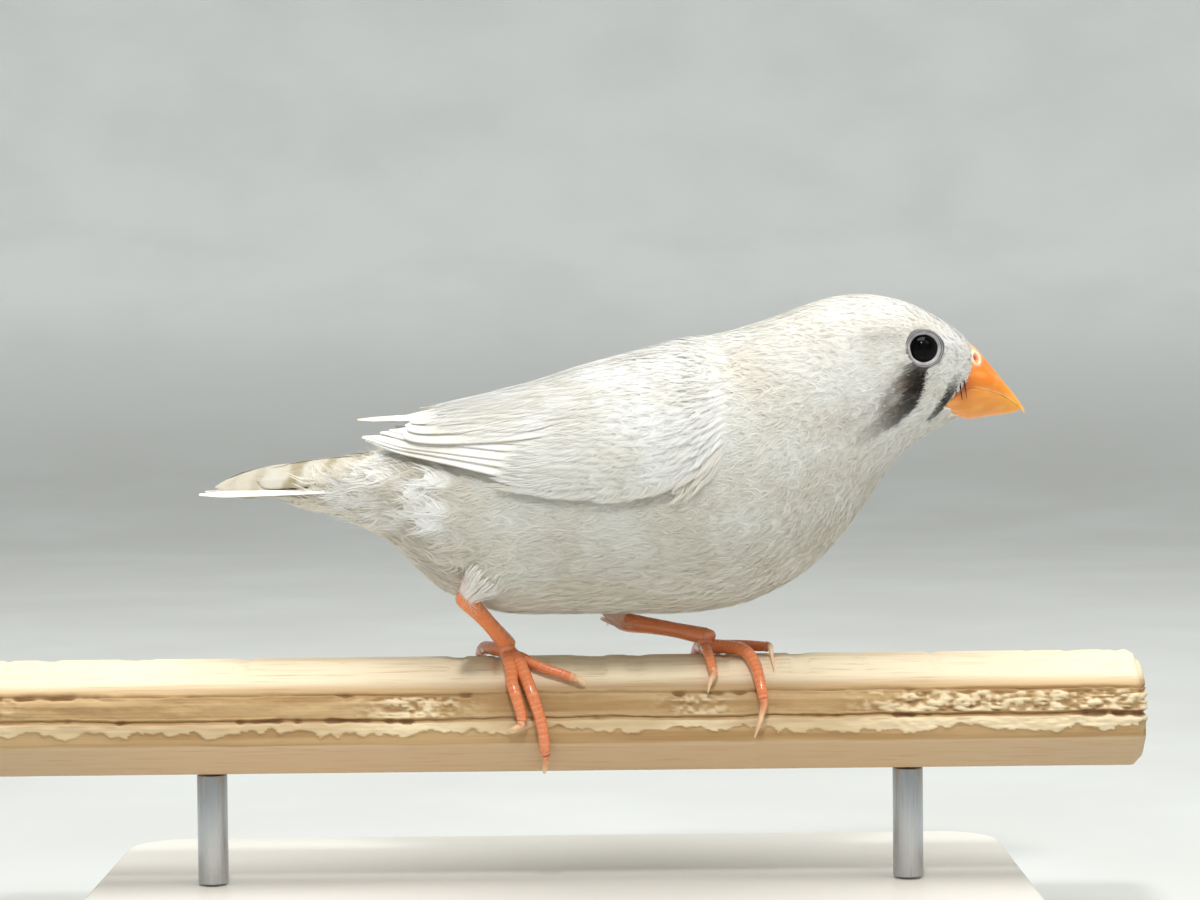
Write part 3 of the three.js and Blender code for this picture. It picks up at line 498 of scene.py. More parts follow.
def shaped_sheet(bm, place, along, around):
    """Adds a sheet whose surface is place(u, v): u runs along it and v round it, both from 0 to 1."""
    made = bmesh.ops.create_grid(bm, x_segments=along, y_segments=around, size=1)["verts"]
    uv = np.array([vert.co[:2] for vert in made]) / 2 + 0.5
    for vert, spot in zip(made, place(uv[:, 0], uv[:, 1])):
        vert.co = spot
    return made


def close_tube(bm, made):
    """Joins a rolled sheet's long edges and closes its ends."""
    bmesh.ops.remove_doubles(bm, verts=made, dist=1e-4)
    left = {vert for vert in made if vert.is_valid}
    rims = [edge for edge in bm.edges if edge.is_boundary and edge.verts[0] in left]
    caps = bmesh.ops.holes_fill(bm, edges=rims, sides=0)["faces"]
    bmesh.ops.poke(bm, faces=caps)


def shaped_tube(bm, place, along, around):
    """Adds a closed tube over a shaped sheet."""
    close_tube(bm, shaped_sheet(bm, place, along, around))


def mesh_places(mesh):
    flat = np.empty(len(mesh.vertices) * 3, np.float32)
    mesh.vertices.foreach_get("co", flat)
    return flat.reshape(-1, 3) / MM


def set_places(mesh, places):
    mesh.vertices.foreach_set("co", (places * MM).astype(np.float32).ravel())
    mesh.update()


def mesh_normals(mesh):
    flat = np.empty(len(mesh.vertices) * 3, np.float32)
    mesh.vertices.foreach_get("normal", flat)
    return flat.reshape(-1, 3).astype(float)


def keep_values(mesh, name, values):
    """Keeps a number for each vertex in an attribute."""
    layer = mesh.attributes.new(name, "FLOAT", "POINT")
    layer.data.foreach_set("value", values.astype(np.float32))


def paint(mesh, colour, name="plumage_colour_and_shade"):
    """Keeps a colour for each vertex in an attribute."""
    rows = np.ones((len(mesh.vertices), 4), np.float32)
    rows[:, :3] = colour
    layer = mesh.color_attributes.new(name, "FLOAT_COLOR", "POINT")
    layer.data.foreach_set("color", rows.ravel())


class Sheaf:
    """Grids of points, each a barb, a vane or a shaft, that become one joined mesh."""

    def __init__(self):
        self.grids = []

    def add(self, places, colour, roots, closed=False, size=(1.0, 1.0)):
        """Places are (count, rows, columns, 3), colour fits them, roots are where each lies on the unwrap."""
        colour = np.broadcast_to(colour, places.shape)
        self.grids.append((places, colour, roots, closed, size))

    def mesh(self, name):
        places, colours, faces, corners, vanes = [], [], [], [], []
        start = 0
        for grid, colour, roots, closed, (width, length) in self.grids:
            count, rows, columns, _ = grid.shape
            places.append(grid.reshape(-1, 3))
            colours.append(colour.reshape(-1, 3))
            i, j = np.meshgrid(np.arange(rows - 1), np.arange(columns - (not closed)), indexing="ij")
            k = (j + 1) % columns
            quad = np.stack(
                [i * columns + j, (i + 1) * columns + j, (i + 1) * columns + k, i * columns + k], axis=-1
            )
            quad = quad.reshape(-1, 4)
            quads = start + quad[None] + (np.arange(count) * rows * columns)[:, None, None]
            faces.append(quads.reshape(-1, 4))
            across = np.stack([j, j, j + 1, j + 1], axis=-1).reshape(-1) / (columns - (not closed))
            if closed:
                # Both faces of a closed vane run from one edge to the other
                across = 1 - np.abs(2 * across - 1)
            along = np.stack([i, i + 1, i + 1, i], axis=-1).reshape(-1) / (rows - 1)
            local = np.stack([across, along], axis=-1)
            corners.append((roots[:, None] + PATCH * (local - 0.5)[None]).reshape(-1, 2))
            own = np.stack([(across - 0.5) * width, along * length], axis=-1)
            vanes.append(np.broadcast_to(own, (count, *own.shape)).reshape(-1, 2))
            start += count * rows * columns
        places, faces = np.concatenate(places), np.concatenate(faces)
        mesh = bpy.data.meshes.new(name)
        mesh.vertices.add(len(places))
        mesh.vertices.foreach_set("co", (places * MM).astype(np.float32).ravel())
        mesh.loops.add(faces.size)
        mesh.loops.foreach_set("vertex_index", faces.astype(np.int32).ravel())
        mesh.polygons.add(len(faces))
        mesh.polygons.foreach_set("loop_start", np.arange(0, faces.size, 4, dtype=np.int32))
        for layer_name, layer in (("OFBake", corners), ("Vane", vanes)):
            uv = mesh.uv_layers.new(name=layer_name)
            uv.data.foreach_set("uv", np.concatenate(layer).astype(np.float32).ravel())
        mesh.update(calc_edges=True)
        mesh.validate()
        paint(mesh, np.concatenate(colours))
        return mesh


PATCH = 0.003


# Feathers


def read_path(path, t):
    """The places and directions of feathers' middle lines at shares t of their length, and a bit past 1."""
    centre, outward, across = path
    steps = centre.shape[1] - 1
    at = t * steps
    i = np.clip(np.floor(at).astype(int), 0, steps - 1)
    f = (at - i)[..., None]
    rows = np.arange(len(centre)).reshape(-1, *[1] * (t.ndim - 1))
    return tuple(mix(part[rows, i], part[rows, i + 1], f) for part in (centre, outward, across))


def make_path(centre, outward):
    """A feather's path from the places of its middle line and the directions off the body there."""
    along = unit(np.gradient(centre, axis=1))
    across = unit(np.cross(outward, along))
    return centre, unit(np.cross(along, across)), across


def vane_width(t):
    """The outline of a small feather, as a share of its half width."""
    return np.sqrt(np.clip(1 - (np.abs(t - 0.52) / 0.56) ** 2.6, 0, 1))


def grow(
    sheaf, path, half, colour_at, roots, rng, barbs=18, width=0.1, sweep=0.4, cup=0.05, ragged=0.1, steps=3
):
    """Small feathers, each a soft vane of separate barbs over a thin sheet that closes it."""
    count = len(half)
    half = half[:, None]
    # The sheet under the barbs, whose narrow end tucks in under the next feather's barbs
    t = np.broadcast_to(np.array([0.0, 0.3, 0.6, 0.84])[None, :, None], (count, 4, 3))
    span = np.array([0.5, 0.75, 0.7, 0.16])[None, :, None] * half[..., None]
    s = np.array([-1.0, 0, 1.0])[None, None] * span
    length = np.linalg.norm(path[0][:, -1] - path[0][:, 0], axis=1)[:, None, None]
    centre, outward, across = read_path(path, t)
    drop = cup * (s / half[..., None]) ** 2 * half[..., None] + 0.03 + 0.07 * length * t**3
    sheet = centre + across * s[..., None] - outward * drop[..., None]
    # Painted shade: the sheet is slightly darker than its feather's barbs
    sheaf.add(sheet, colour_at(sheet) * 0.985, roots)
    # The barbs, from the shaft outwards and towards the tip
    side = np.repeat([-1.0, 1.0], barbs)[None]
    start = np.tile((np.arange(barbs) + 0.5) / barbs, 2)[None] * 0.74
    start = start + rng.normal(0, 0.012, (count, 2 * barbs))
    reach = vane_width(start + 0.6 * sweep) * (1 + ragged * rng.normal(0, 1, start.shape))
    q = np.linspace(0, 1, steps)[None, None]
    s = side[..., None] * reach[..., None] * np.sin(q * math.pi / 2) ** 0.9 * half[..., None]
    stray = (ragged * rng.normal(0, 0.15, start.shape))[..., None] * q
    t = start[..., None] + sweep * (0.5 + 0.5 * reach[..., None]) * q**1.3 + stray
    centre, outward, across = read_path(path, t)
    loft = (ragged * np.abs(rng.normal(0, 0.35, start.shape)))[..., None] * q**2
    drop = cup * (s / half[..., None]) ** 2 * half[..., None] - loft
    middle = centre + across * s[..., None] - outward * drop[..., None]
    way = unit(np.gradient(middle, axis=2))
    tilt = ((0.03 + 0.8 * ragged) * rng.normal(0, 1, start.shape))[..., None, None]
    flat = unit(np.cross(outward, way) + outward * tilt)
    flat = flat * (width * (1 - 0.75 * q) / 2)[..., None]
    ribbon = np.stack([middle - flat, middle + flat], axis=3)
    # Each barb takes the marking found a little way off along the lie, which draws the edges out in streaks
    along = unit(middle[:, :, -1] - middle[:, :, 0])
    shift = rng.normal(0, 0.35, (count, 2 * barbs, 1))
    sampled = middle[:, :, 1] + along * shift * np.minimum(half[..., None], 0.8)
    colour = colour_at(sampled)
    # Barbs darker towards their roots, partly a feather's greyer base and partly painted shade where feathers
    # overlap, and darker at random
    shade = mix(0.95, 1.0, q) * (1 - 0.06 * rng.random(start.shape))[..., None]
    tint = (colour[:, :, None] * shade[..., None])[:, :, :, None] * np.ones((2, 1))
    ribbon = ribbon.reshape(count * 2 * barbs, steps, 2, 3)
    sheaf.add(ribbon, tint.reshape(ribbon.shape), np.repeat(roots, 2 * barbs, axis=0))


def strands(sheaf, path, colour, roots, rng, width=0.07, wander=0.15):
    """Fine single barbs that lie along their paths."""
    count = len(colour)
    q = np.linspace(0, 1, path[0].shape[1])[None]
    centre, outward, across = path
    bow = (rng.normal(0, wander, count)[:, None] * q**2)[..., None]
    middle = centre + across * bow * np.linalg.norm(centre[:, -1] - centre[:, 0], axis=1)[:, None, None]
    flat = unit(across + outward * rng.normal(0, 0.4, count)[:, None, None])
    flat = flat * (width * (1 - 0.8 * q) / 2)[..., None]
    ribbon = np.stack([middle - flat, middle + flat], axis=2)
    sheaf.add(ribbon, (colour * (1 - 0.08 * rng.random((count, 1))))[:, None, None], roots)


class Surface:
    """The skin as a surface on which feathers are rooted and laid."""

    def __init__(self, mesh):
        mesh.calc_loop_triangles()
        self.places = mesh_places(mesh)
        self.normals = mesh_normals(mesh)
        self.faces = np.array([tri.vertices[:] for tri in mesh.loop_triangles])
        self.tree = BVHTree.FromPolygons(self.places.tolist(), self.faces.tolist())

    def nearest(self, places):
        """The nearest places on the skin and the directions off it there."""
        hits = [self.tree.find_nearest(place) for place in places.tolist()]
        spots = np.array([hit[0][:] for hit in hits])
        corners = self.faces[[hit[2] for hit in hits]]
        return spots, unit(self.normals[corners].sum(axis=1))

    def scatter(self, rng, spacing, wanted, tries):
        """Roots spread over the skin no nearer to each other than the spacing there."""
        a, b, c = (self.places[self.faces[:, k]] for k in range(3))
        area = np.linalg.norm(np.cross(b - a, c - a), axis=1)
        picked = rng.choice(len(area), tries, p=area / area.sum())
        r, q = np.sqrt(rng.random(tries)), rng.random(tries)
        spots = (1 - r)[:, None] * a[picked] + (r * (1 - q))[:, None] * b[picked]
        spots = spots + (r * q)[:, None] * c[picked]
        spots = spots[wanted(spots)]
        apart = spacing(spots[:, 0])
        cell = float(apart.max())
        taken, kept = {}, []
        for n, (spot, gap, key) in enumerate(
            zip(spots.tolist(), apart.tolist(), np.floor(spots / cell).astype(int).tolist())
        ):
            near = gap * gap
            clear = True
            for dx in (-1, 0, 1):
                for dy in (-1, 0, 1):
                    for dz in (-1, 0, 1):
                        for other in taken.get((key[0] + dx, key[1] + dy, key[2] + dz), ()):
                            off = sum((p - o) ** 2 for p, o in zip(spot, other))
                            clear = clear and off > near
            if clear:
                taken.setdefault(tuple(key), []).append(spot)
                kept.append(n)
        return spots[kept]

    def lay(self, roots, length, steps, sunk, raised, sway=None):
        """Paths of feathers that start at roots and follow the lie over the skin, rising to their tips."""
        spots, outward = self.nearest(roots)
        centres, directions = [], []
        for k in range(steps + 1):
            share = k / steps
            height = mix(sunk, raised, share)
            centres.append(spots + outward * height[:, None])
            directions.append(outward)
            if k < steps:
                way = lie(spots, outward)
                if sway is not None:
                    way = unit(way + np.cross(outward, way) * sway[:, None])
                spots, outward = self.nearest(spots + way * (length / steps)[:, None])
        return make_path(np.stack(centres, axis=1), np.stack(directions, axis=1))


# Materials

COLOURS = {"data_type": "RGBA"}
TINTED = {"data_type": "RGBA", "blend_type": "MULTIPLY"}
SMOOTH = {"interpolation_type": "SMOOTHSTEP"}


def per(*sizes_mm):
    """The scale of a pattern whose lumps have a size, or one size along each axis."""
    scales = [1 / (size * MM) for size in sizes_mm]
    return scales if len(scales) > 1 else scales[0]


def rgba(colour):
    """A node's colour, from sRGB hex or from the name of one that the user can set."""
    return (*(linear(colour) if colour.startswith("#") else tone(colour)), 1.0)


def add(tree, kind, inputs=(), **settings):
    """Adds a node with its settings; inputs, by name or in order, are values, or what to link from."""
    node = tree.nodes.new("ShaderNode" + kind)
    for name, value in settings.items():
        setattr(node, name, value)
    for name, value in inputs.items() if isinstance(inputs, dict) else enumerate(inputs):
        if isinstance(value, bpy.types.Node):
            value = next(socket for socket in value.outputs if socket.enabled)
        if isinstance(value, bpy.types.NodeSocket):
            tree.links.new(value, node.inputs[name])
        else:
            node.inputs[name].default_value = rgba(value) if isinstance(value, str) else value
    return node


def stock(finish):
    """The material that a finish describes, made once and shared by its pieces."""
    name = finish.__name__.replace("_", " ")
    material = bpy.data.materials.get(name)
    if material is None:
        material = bpy.data.materials.new(name)
        material.use_nodes = True
        tree = material.node_tree
        tree.nodes.clear()
        place = add(tree, "TexCoord").outputs["Object"]
        add(tree, "OutputMaterial", {"Surface": add(tree, "BsdfPrincipled", finish(tree, place))})
    return material


def white_contour_feather(tree, place):
    """Contour feathers: keratin barbs full of air, matt and bright, that let a little light through."""
    colour = add(tree, "Attribute", attribute_name="plumage_colour_and_shade")
    cloud = add(tree, "TexNoise", {"Vector": place, "Scale": per(7.0), "Detail": 3.0})
    patchy = add(tree, "MapRange", (cloud, 0.3, 0.7), **SMOOTH)
    tint = add(tree, "Mix", {0: patchy, 6: "#FFFFFF", 7: "#F4F1EA"}, **COLOURS)
    base = add(tree, "Mix", {0: 1.0, 6: colour, 7: tint}, **TINTED)
    look = {"Base Color": base, "Roughness": 0.62, "Specular IOR Level": 0.3}
    return look | {"Sheen Weight": 0.12, "Sheen Roughness": 0.4}


def white_flight_feather(tree, place):
    """Flight feathers: closed vanes with a fine rib of barbs either side of the shaft, a faint silk shine."""
    colour = add(tree, "Attribute", attribute_name="plumage_colour_and_shade")
    across, along, _ = add(tree, "SeparateXYZ", (add(tree, "UVMap", uv_map="Vane"),)).outputs
    off = add(tree, "Math", (across,), operation="ABSOLUTE")
    swept = add(tree, "Math", (off, -1.3, along), operation="MULTIPLY_ADD")
    # Barbs 0.3 mm apart, drawn a little coarser than real ones so that they show
    line = add(tree, "Math", (swept, 2 * math.pi / 0.3), operation="MULTIPLY")
    barb = add(tree, "Math", (line,), operation="SINE")
    cloud = add(tree, "TexNoise", {"Vector": place, "Scale": per(3.0), "Detail": 3.0})
    patchy = add(tree, "MapRange", (cloud, 0.3, 0.7), **SMOOTH)
    tint = add(tree, "Mix", {0: patchy, 6: "#FFFFFF", 7: "#F3EFE6"}, **COLOURS)
    base = add(tree, "Mix", {0: 1.0, 6: colour, 7: tint}, **TINTED)
    bump = add(tree, "Bump", {"Height": barb, "Distance": 0.02 * MM, "Strength": 0.5})
    look = {"Base Color": base, "Roughness": 0.5, "Normal": bump}
    return look | {"Specular IOR Level": 0.35, "Sheen Weight": 0.1}


def downy_skin(tree, place):
    """The skin under the coat: fine soft down that closes the gaps between the feathers' roots."""
    colour = add(tree, "Attribute", attribute_name="plumage_colour_and_shade")
    drawn = add(tree, "Mapping", {"Vector": place, "Scale": per(1.25, 0.5, 0.5)})
    fluff = add(tree, "TexNoise", {"Vector": drawn, "Scale": 1.0, "Detail": 4.0})
    pale = add(tree, "MapRange", (fluff, 0.3, 0.7, 0.0, 0.5), **SMOOTH)
    base = add(tree, "Mix", {0: pale, 6: colour, 7: "#E9E5DE"}, **COLOURS)
    bump = add(tree, "Bump", {"Height": fluff, "Distance": 0.15 * MM, "Strength": 1.0})
    return {"Base Color": base, "Roughness": 0.8, "Specular IOR Level": 0.2, "Normal": bump}


def orange_bill_horn(tree, place):
    """Bill horn: waxy orange keratin, polished by use, a little light passing under its surface."""
    colour = add(tree, "Attribute", attribute_name="horn_colour_and_highlight")
    drawn = add(tree, "Mapping", {"Vector": place, "Scale": per(2.56, 1.6, 1.6)})
    cloudy = add(tree, "TexNoise", {"Vector": drawn, "Scale": 1.0, "Detail": 4.0})
    pale = add(tree, "MapRange", (cloudy, 0.45, 0.8, 0.0, 0.22), **SMOOTH)
    base = add(tree, "Mix", {0: pale, 6: colour, 7: "#FFBC66"}, **COLOURS)
    drawn = add(tree, "Mapping", {"Vector": place, "Scale": per(1.05, 0.35, 0.35)})
    fine = add(tree, "TexNoise", {"Vector": drawn, "Scale": 1.0, "Detail": 3.0})
    rough = add(tree, "MapRange", (fine, 0.2, 0.8, 0.3, 0.48), **SMOOTH)
    bump = add(tree, "Bump", {"Height": fine, "Distance": 0.03 * MM, "Strength": 0.6})
    look = {"Base Color": base, "Roughness": rough, "Normal": bump, "Specular IOR Level": 0.5}
    look |= {"Coat Weight": 0.25, "Coat Roughness": 0.22, "Subsurface Weight": 0.12}
    return look | {"Subsurface Radius": (1.0, 0.45, 0.15), "Subsurface Scale": 0.8 * MM}


def salmon_leg_scute(tree, place):
    """Leg scutes: smooth waxy horn plates over soft skin, redder and darker in the grooves between them,
    partly painted shade, with painted highlights on the plates' crests.
    """
    height = add(tree, "Attribute", attribute_name="scute_height").outputs["Fac"]
    # The grooves between the plates: partly redder skin, partly painted shade
    plate = add(tree, "MapRange", (height, 0.0, 0.4), **SMOOTH)
    base = add(tree, "Mix", {0: plate, 6: "leg_groove_and_shade", 7: "leg_plate"}, **COLOURS)
    # Painted highlight along the plates' crests
    crest = add(tree, "MapRange", (height, 0.7, 1.0, 0.0, 0.4), **SMOOTH)
    base = add(tree, "Mix", {0: crest, 6: base, 7: "#F9BE9C"}, **COLOURS)
    mottle = add(tree, "TexNoise", {"Vector": place, "Scale": per(0.9), "Detail": 4.0})
    red = add(tree, "MapRange", (mottle, 0.5, 0.8, 0.0, 0.45), **SMOOTH)
    base = add(tree, "Mix", {0: red, 6: base, 7: "#D9683E"}, **COLOURS)
    pores = add(tree, "TexNoise", {"Vector": place, "Scale": per(0.22), "Detail": 3.0})
    rough = add(tree, "MapRange", (pores, 0.2, 0.8, 0.16, 0.32), **SMOOTH)
    bump = add(tree, "Bump", {"Height": pores, "Distance": 0.03 * MM, "Strength": 0.7})
    look = {"Base Color": base, "Roughness": rough, "Normal": bump, "Coat Weight": 0.55}
    look |= {"Coat Roughness": 0.12, "Subsurface Weight": 0.15}
    return look | {"Subsurface Radius": (1.0, 0.35, 0.2), "Subsurface Scale": 0.5 * MM}


def pale_claw_horn(tree, place):
    """Claws: clear pale horn, smooth and a little glossy."""
    drawn = add(tree, "Mapping", {"Vector": place, "Scale": per(0.5, 0.5, 1.5)})
    growth = add(tree, "TexNoise", {"Vector": drawn, "Scale": 1.0, "Detail": 3.0})
    share = add(tree, "Attribute", attribute_name="claw_share").outputs["Fac"]
    outer = add(tree, "MapRange", (share, 0.05, 0.6), **SMOOTH)
    base = add(tree, "Mix", {0: outer, 6: "#DD8355", 7: "claw"}, **COLOURS)
    line = add(tree, "MapRange", (growth, 0.4, 0.8, 0.0, 0.5), **SMOOTH)
    base = add(tree, "Mix", {0: line, 6: base, 7: "#F3DDB8"}, **COLOURS)
    look = {"Base Color": base, "Roughness": 0.35, "Coat Weight": 0.2}
    return look | {"Subsurface Weight": 0.1, "Subsurface Scale": 0.4 * MM}


def wet_dark_eye(tree, place):
    """The eye: a dark iris and pupil under a wet, clear cornea."""
    speck = add(tree, "TexNoise", {"Vector": place, "Scale": per(0.3), "Detail": 2.0})
    base = add(tree, "Mix", {0: speck, 6: "#020202", 7: "#070505"}, **COLOURS)
    return {"Base Color": base, "Roughness": 0.03, "Specular IOR Level": 0.1}


def lavender_lid_skin(tree, place):
    """Bare lids: thin lavender-grey skin in fine beaded ridges, slightly moist."""
    shade = add(tree, "Attribute", attribute_name="lid_shade").outputs["Fac"]
    base = add(tree, "Mix", {0: shade, 6: "#55504F", 7: "lid"}, **COLOURS)
    pores = add(tree, "TexNoise", {"Vector": place, "Scale": per(0.12), "Detail": 3.0})
    bump = add(tree, "Bump", {"Height": pores, "Distance": 0.03 * MM, "Strength": 0.5})
    look = {"Base Color": base, "Roughness": 0.45, "Normal": bump}
    return look | {"Subsurface Weight": 0.1, "Subsurface Scale": 0.3 * MM}


def worn_pine_dowel(tree, place):
    """Pine: planed softwood with long darker growth lines, rough torn fibres and gnawed bands, painted
    lighter along its top and with painted shade in its grooves and crevices.
    """
    worn = add(tree, "Attribute", attribute_name="wood_wear_and_shade")
    dark, torn, low = add(tree, "SeparateColor", (worn,)).outputs
    drawn = add(tree, "Mapping", {"Vector": place, "Scale": per(39.0, 1.3, 1.3)})
    rings = add(tree, "TexNoise", {"Vector": drawn, "Scale": 1.0, "Detail": 4.0})
    drawn = add(tree, "Mapping", {"Vector": place, "Scale": per(8.4, 0.28, 0.28)})
    fibre = add(tree, "TexNoise", {"Vector": drawn, "Scale": 1.0, "Detail": 3.0})
    late = add(tree, "MapRange", (rings, 0.38, 0.68), **SMOOTH)
    base = add(tree, "Mix", {0: late, 6: "wood", 7: "wood_growth"}, **COLOURS)
    # Painted light: the wood turns paler towards the top, where the overhead light falls
    height = add(tree, "SeparateXYZ", (place,)).outputs[2]
    rise = [(PERCH["axis"] + level) * MM for level in (3.6, 5.4)]
    top = add(tree, "MapRange", (height, *rise, 0.0, 0.8), **SMOOTH)
    base = add(tree, "Mix", {0: top, 6: base, 7: "#F8E9CC"}, **COLOURS)
    base = add(tree, "Mix", {0: low, 6: base, 7: "#CBAF8D"}, **COLOURS)
    pores = add(tree, "MapRange", (fibre, 0.5, 0.8, 0.0, 0.5), **SMOOTH)
    base = add(tree, "Mix", {0: pores, 6: base, 7: "#B08A60"}, **COLOURS)
    pale = add(tree, "MapRange", (torn, 0.1, 0.9, 0.0, 0.75), **SMOOTH)
    base = add(tree, "Mix", {0: pale, 6: base, 7: "#F3E2BF"}, **COLOURS)
    # The dark channel: partly darker grain, partly painted shade in the grooves and crevices and a painted
    # shadow under the broken lip
    deep = add(tree, "MapRange", (dark, 0.1, 1.0, 0.0, 0.85), **SMOOTH)
    base = add(tree, "Mix", {0: deep, 6: base, 7: "#775030"}, **COLOURS)
    bump = add(tree, "Bump", {"Height": fibre, "Distance": 0.08 * MM, "Strength": 0.7})
    return {"Base Color": base, "Roughness": 0.72, "Specular IOR Level": 0.3, "Normal": bump}


def satin_lacquered_board(tree, place):
    """The base: board with a sprayed satin lacquer, its faint orange peel softening the highlights."""
    peel = add(tree, "TexNoise", {"Vector": place, "Scale": per(0.8), "Detail": 2.0})
    cloud = add(tree, "TexNoise", {"Vector": place, "Scale": per(25.0), "Detail": 2.0})
    base = add(tree, "Mix", {0: cloud, 6: "board", 7: "#DFDBD2"}, **COLOURS)
    bump = add(tree, "Bump", {"Height": peel, "Distance": 0.02 * MM, "Strength": 0.4})
    look = {"Base Color": base, "Roughness": 0.38, "Normal": bump}
    return look | {"Coat Weight": 0.15, "Coat Roughness": 0.3}


def drawn_steel_rod(tree, place):
    """The rods: drawn steel rod, brushed along its length, so that its highlight is a soft streak."""
    drawn = add(tree, "Mapping", {"Vector": place, "Scale": per(0.12, 0.12, 7.2)})
    scratches = add(tree, "TexNoise", {"Vector": drawn, "Scale": 1.0, "Detail": 3.0})
    base = add(tree, "Mix", {0: scratches, 6: "#A9ABAE", 7: "#C6C8CA"}, **COLOURS)
    rough = add(tree, "MapRange", (scratches, 0.2, 0.8, 0.24, 0.4), **SMOOTH)
    bump = add(tree, "Bump", {"Height": scratches, "Distance": 0.01 * MM, "Strength": 0.5})
    return {"Base Color": base, "Roughness": rough, "Normal": bump, "Metallic": 1.0}


def pale_studio_paper(tree, place):
    """The stage: matt pale grey paper."""
    cloud = add(tree, "TexNoise", {"Vector": place, "Scale": per(60.0), "Detail": 3.0})
    height = add(tree, "SeparateXYZ", (place,)).outputs[2]
    wall = add(tree, "MapRange", (height, 0.0, 0.12), **SMOOTH)
    base = add(tree, "Mix", {0: wall, 6: "#C8CAC7", 7: "#FCFEFD"}, **COLOURS)
    patchy = add(tree, "MapRange", (cloud, 0.3, 0.8, 0.0, 0.3), **SMOOTH)
    base = add(tree, "Mix", {0: patchy, 6: base, 7: "#DDE1E1"}, **COLOURS)
    return {"Base Color": base, "Roughness": 0.95, "Specular IOR Level": 0.1}


# The skin


def frame_across(way, guide):
    """Two directions square to a line's way, the second near the guide."""
    across = unit(np.cross(guide, way))
    return across, unit(np.cross(way, across))


def limb_place(line, radius, guide=(0, 0, 1)):
    """The surface of a round limb along a line, for shaped_tube."""
    guide = np.array(guide, float)

    def place(u, v):
        centre = along_line(line, u)
        way = unit(along_line(line, np.minimum(u + 0.01, 1.02)) - along_line(line, u - 0.01))
        across, up = frame_across(way, guide)
        turn = 2 * math.pi * v
        reach = radius(u)[:, None]
        return centre + (across * np.cos(turn)[:, None] + up * np.sin(turn)[:, None]) * reach

    return place


def tail_root_place(u, v):
    x = mix(-24.0, -38.0, u)
    turn = 2 * math.pi * v
    share = (1 + power(np.cos(turn), 0.85)) / 2
    z = mix(tail_under(x) + tail_raised(x), tail_top(x) - tail_sunk(x), share)
    return stack(x, -tail_half(x) * power(np.sin(turn), 0.85), z)


class Skin(bpy.types.Operator):
    """One skin for the whole bird, inside the coat"""

    bl_idname = "finch.skin"
    bl_label = "Skin"

    def execute(self, context):
        sizes = context.scene.finch_plumage
        bm = bmesh.new()
        shaped_tube(bm, lambda u, v: body_place(u * LAST_STATION, 2 * math.pi * v), 96, 72)
        shaped_tube(bm, tail_root_place, 24, 48)
        for foot in FEET.values():
            radius = profile(foot["thigh_radii"])
            shaped_tube(bm, limb_place(foot["thigh"], radius, (1, 0, 0)), 20, 32)
        rough = bpy.data.objects.new("rough skin", to_mesh("rough skin", bm))
        context.scene.collection.objects.link(rough)
        remesh = rough.modifiers.new("one surface", "REMESH")
        remesh.mode = "VOXEL"
        remesh.voxel_size = sizes.skin_grain * MM
        mesh = bpy.data.meshes.new_from_object(rough.evaluated_get(context.evaluated_depsgraph_get()))
        bpy.data.objects.remove(rough)
        bm = bmesh.new()
        bm.from_mesh(mesh)
        for _ in range(4):
            bmesh.ops.smooth_vert(
                bm, verts=bm.verts, factor=0.5, use_axis_x=True, use_axis_y=True, use_axis_z=True
            )
        bm.normal_update()
        bm.to_mesh(mesh)
        bm.free()
        places, outward = mesh_places(mesh), mesh_normals(mesh)
        depth = coat_depth(places[:, 0])
        for spot, way in EYES.values():
            off = places - spot
            off = np.linalg.norm(off - np.outer(off @ way, way), axis=1) + 9.0 * (places[:, 1] * spot[1] < 0)
            depth = depth + 1.5 * (1 - ease((off - 1.95) / 0.4))
        # Beside the bill's base the skin draws back, but for a wedge that reaches forward under it
        above_chin = places[:, 2] - 67.1 - 0.43 * (places[:, 0] - 51.6)
        wedge = (1 - ease((above_chin - 0.3) / 0.5)) * (1 - ease((places[:, 0] - 53.4) / 0.6))
        low = ease((69.6 - places[:, 2]) / 0.9) * (1 - wedge)
        depth = depth + 1.3 * ease((places[:, 0] - 51.6) / 1.2) * low
        set_places(mesh, places - outward * depth[:, None])
        paint(mesh, markings(places))
        flesh = ("torso", "neck", "head", "thigh_right", "thigh_left")
        finish_mesh("skin", mesh, stock(downy_skin), flesh)
        return {"FINISHED"}


BANDS = [
    ("coat_face", 47.5, 60.0, 9),
    ("coat_cheek", 41.5, 47.5, 12),
    ("coat_crown", 34.5, 41.5, 15),
    ("coat_neck", 25.5, 34.5, 17),
    ("coat_shoulder", 14.0, 25.5, 18),
    ("coat_breast", 2.0, 14.0, 18),
    ("coat_belly", -11.0, 2.0, 18),
    ("coat_rump", -45.0, -11.0, 18),
]


def inside_bill(places, margin):
    """Whether places lie within the bill's two halves, drawn in by a margin."""
    x, y, z = places.T
    edge = cutting_edge(x)
    crest = np.where(z > edge, ridge(x), keel(x))
    share = np.clip((z - edge) / (crest - edge), 0, 1.2)
    half = bill_half(x) * np.sqrt(np.clip(1 - share**2, 0, 1))
    return (x > 50.8) & (np.abs(y) < half - margin) & (share < 1)


def bare_places(places):
    """Where no feather roots: the eyes, the bill, and under the folded wings and the tail's coverts."""
    bare = wing_cover(places) > 1.3
    for spot, outward in EYES.values():
        off = places - spot
        off = off - np.outer(off @ outward, outward)
        bare |= (np.linalg.norm(off, axis=1) < LID["outer"] - 0.25) & (places[:, 1] * spot[1] > 0)
    x, _, z = places.T
    under_tail = (x < -17.5) & (z > 62.6 + 0.62 * (x + 19.5))
    return bare | inside_bill(places, 0.15) | under_tail | (x < -31) & (z > 58.4) | (x < -36)


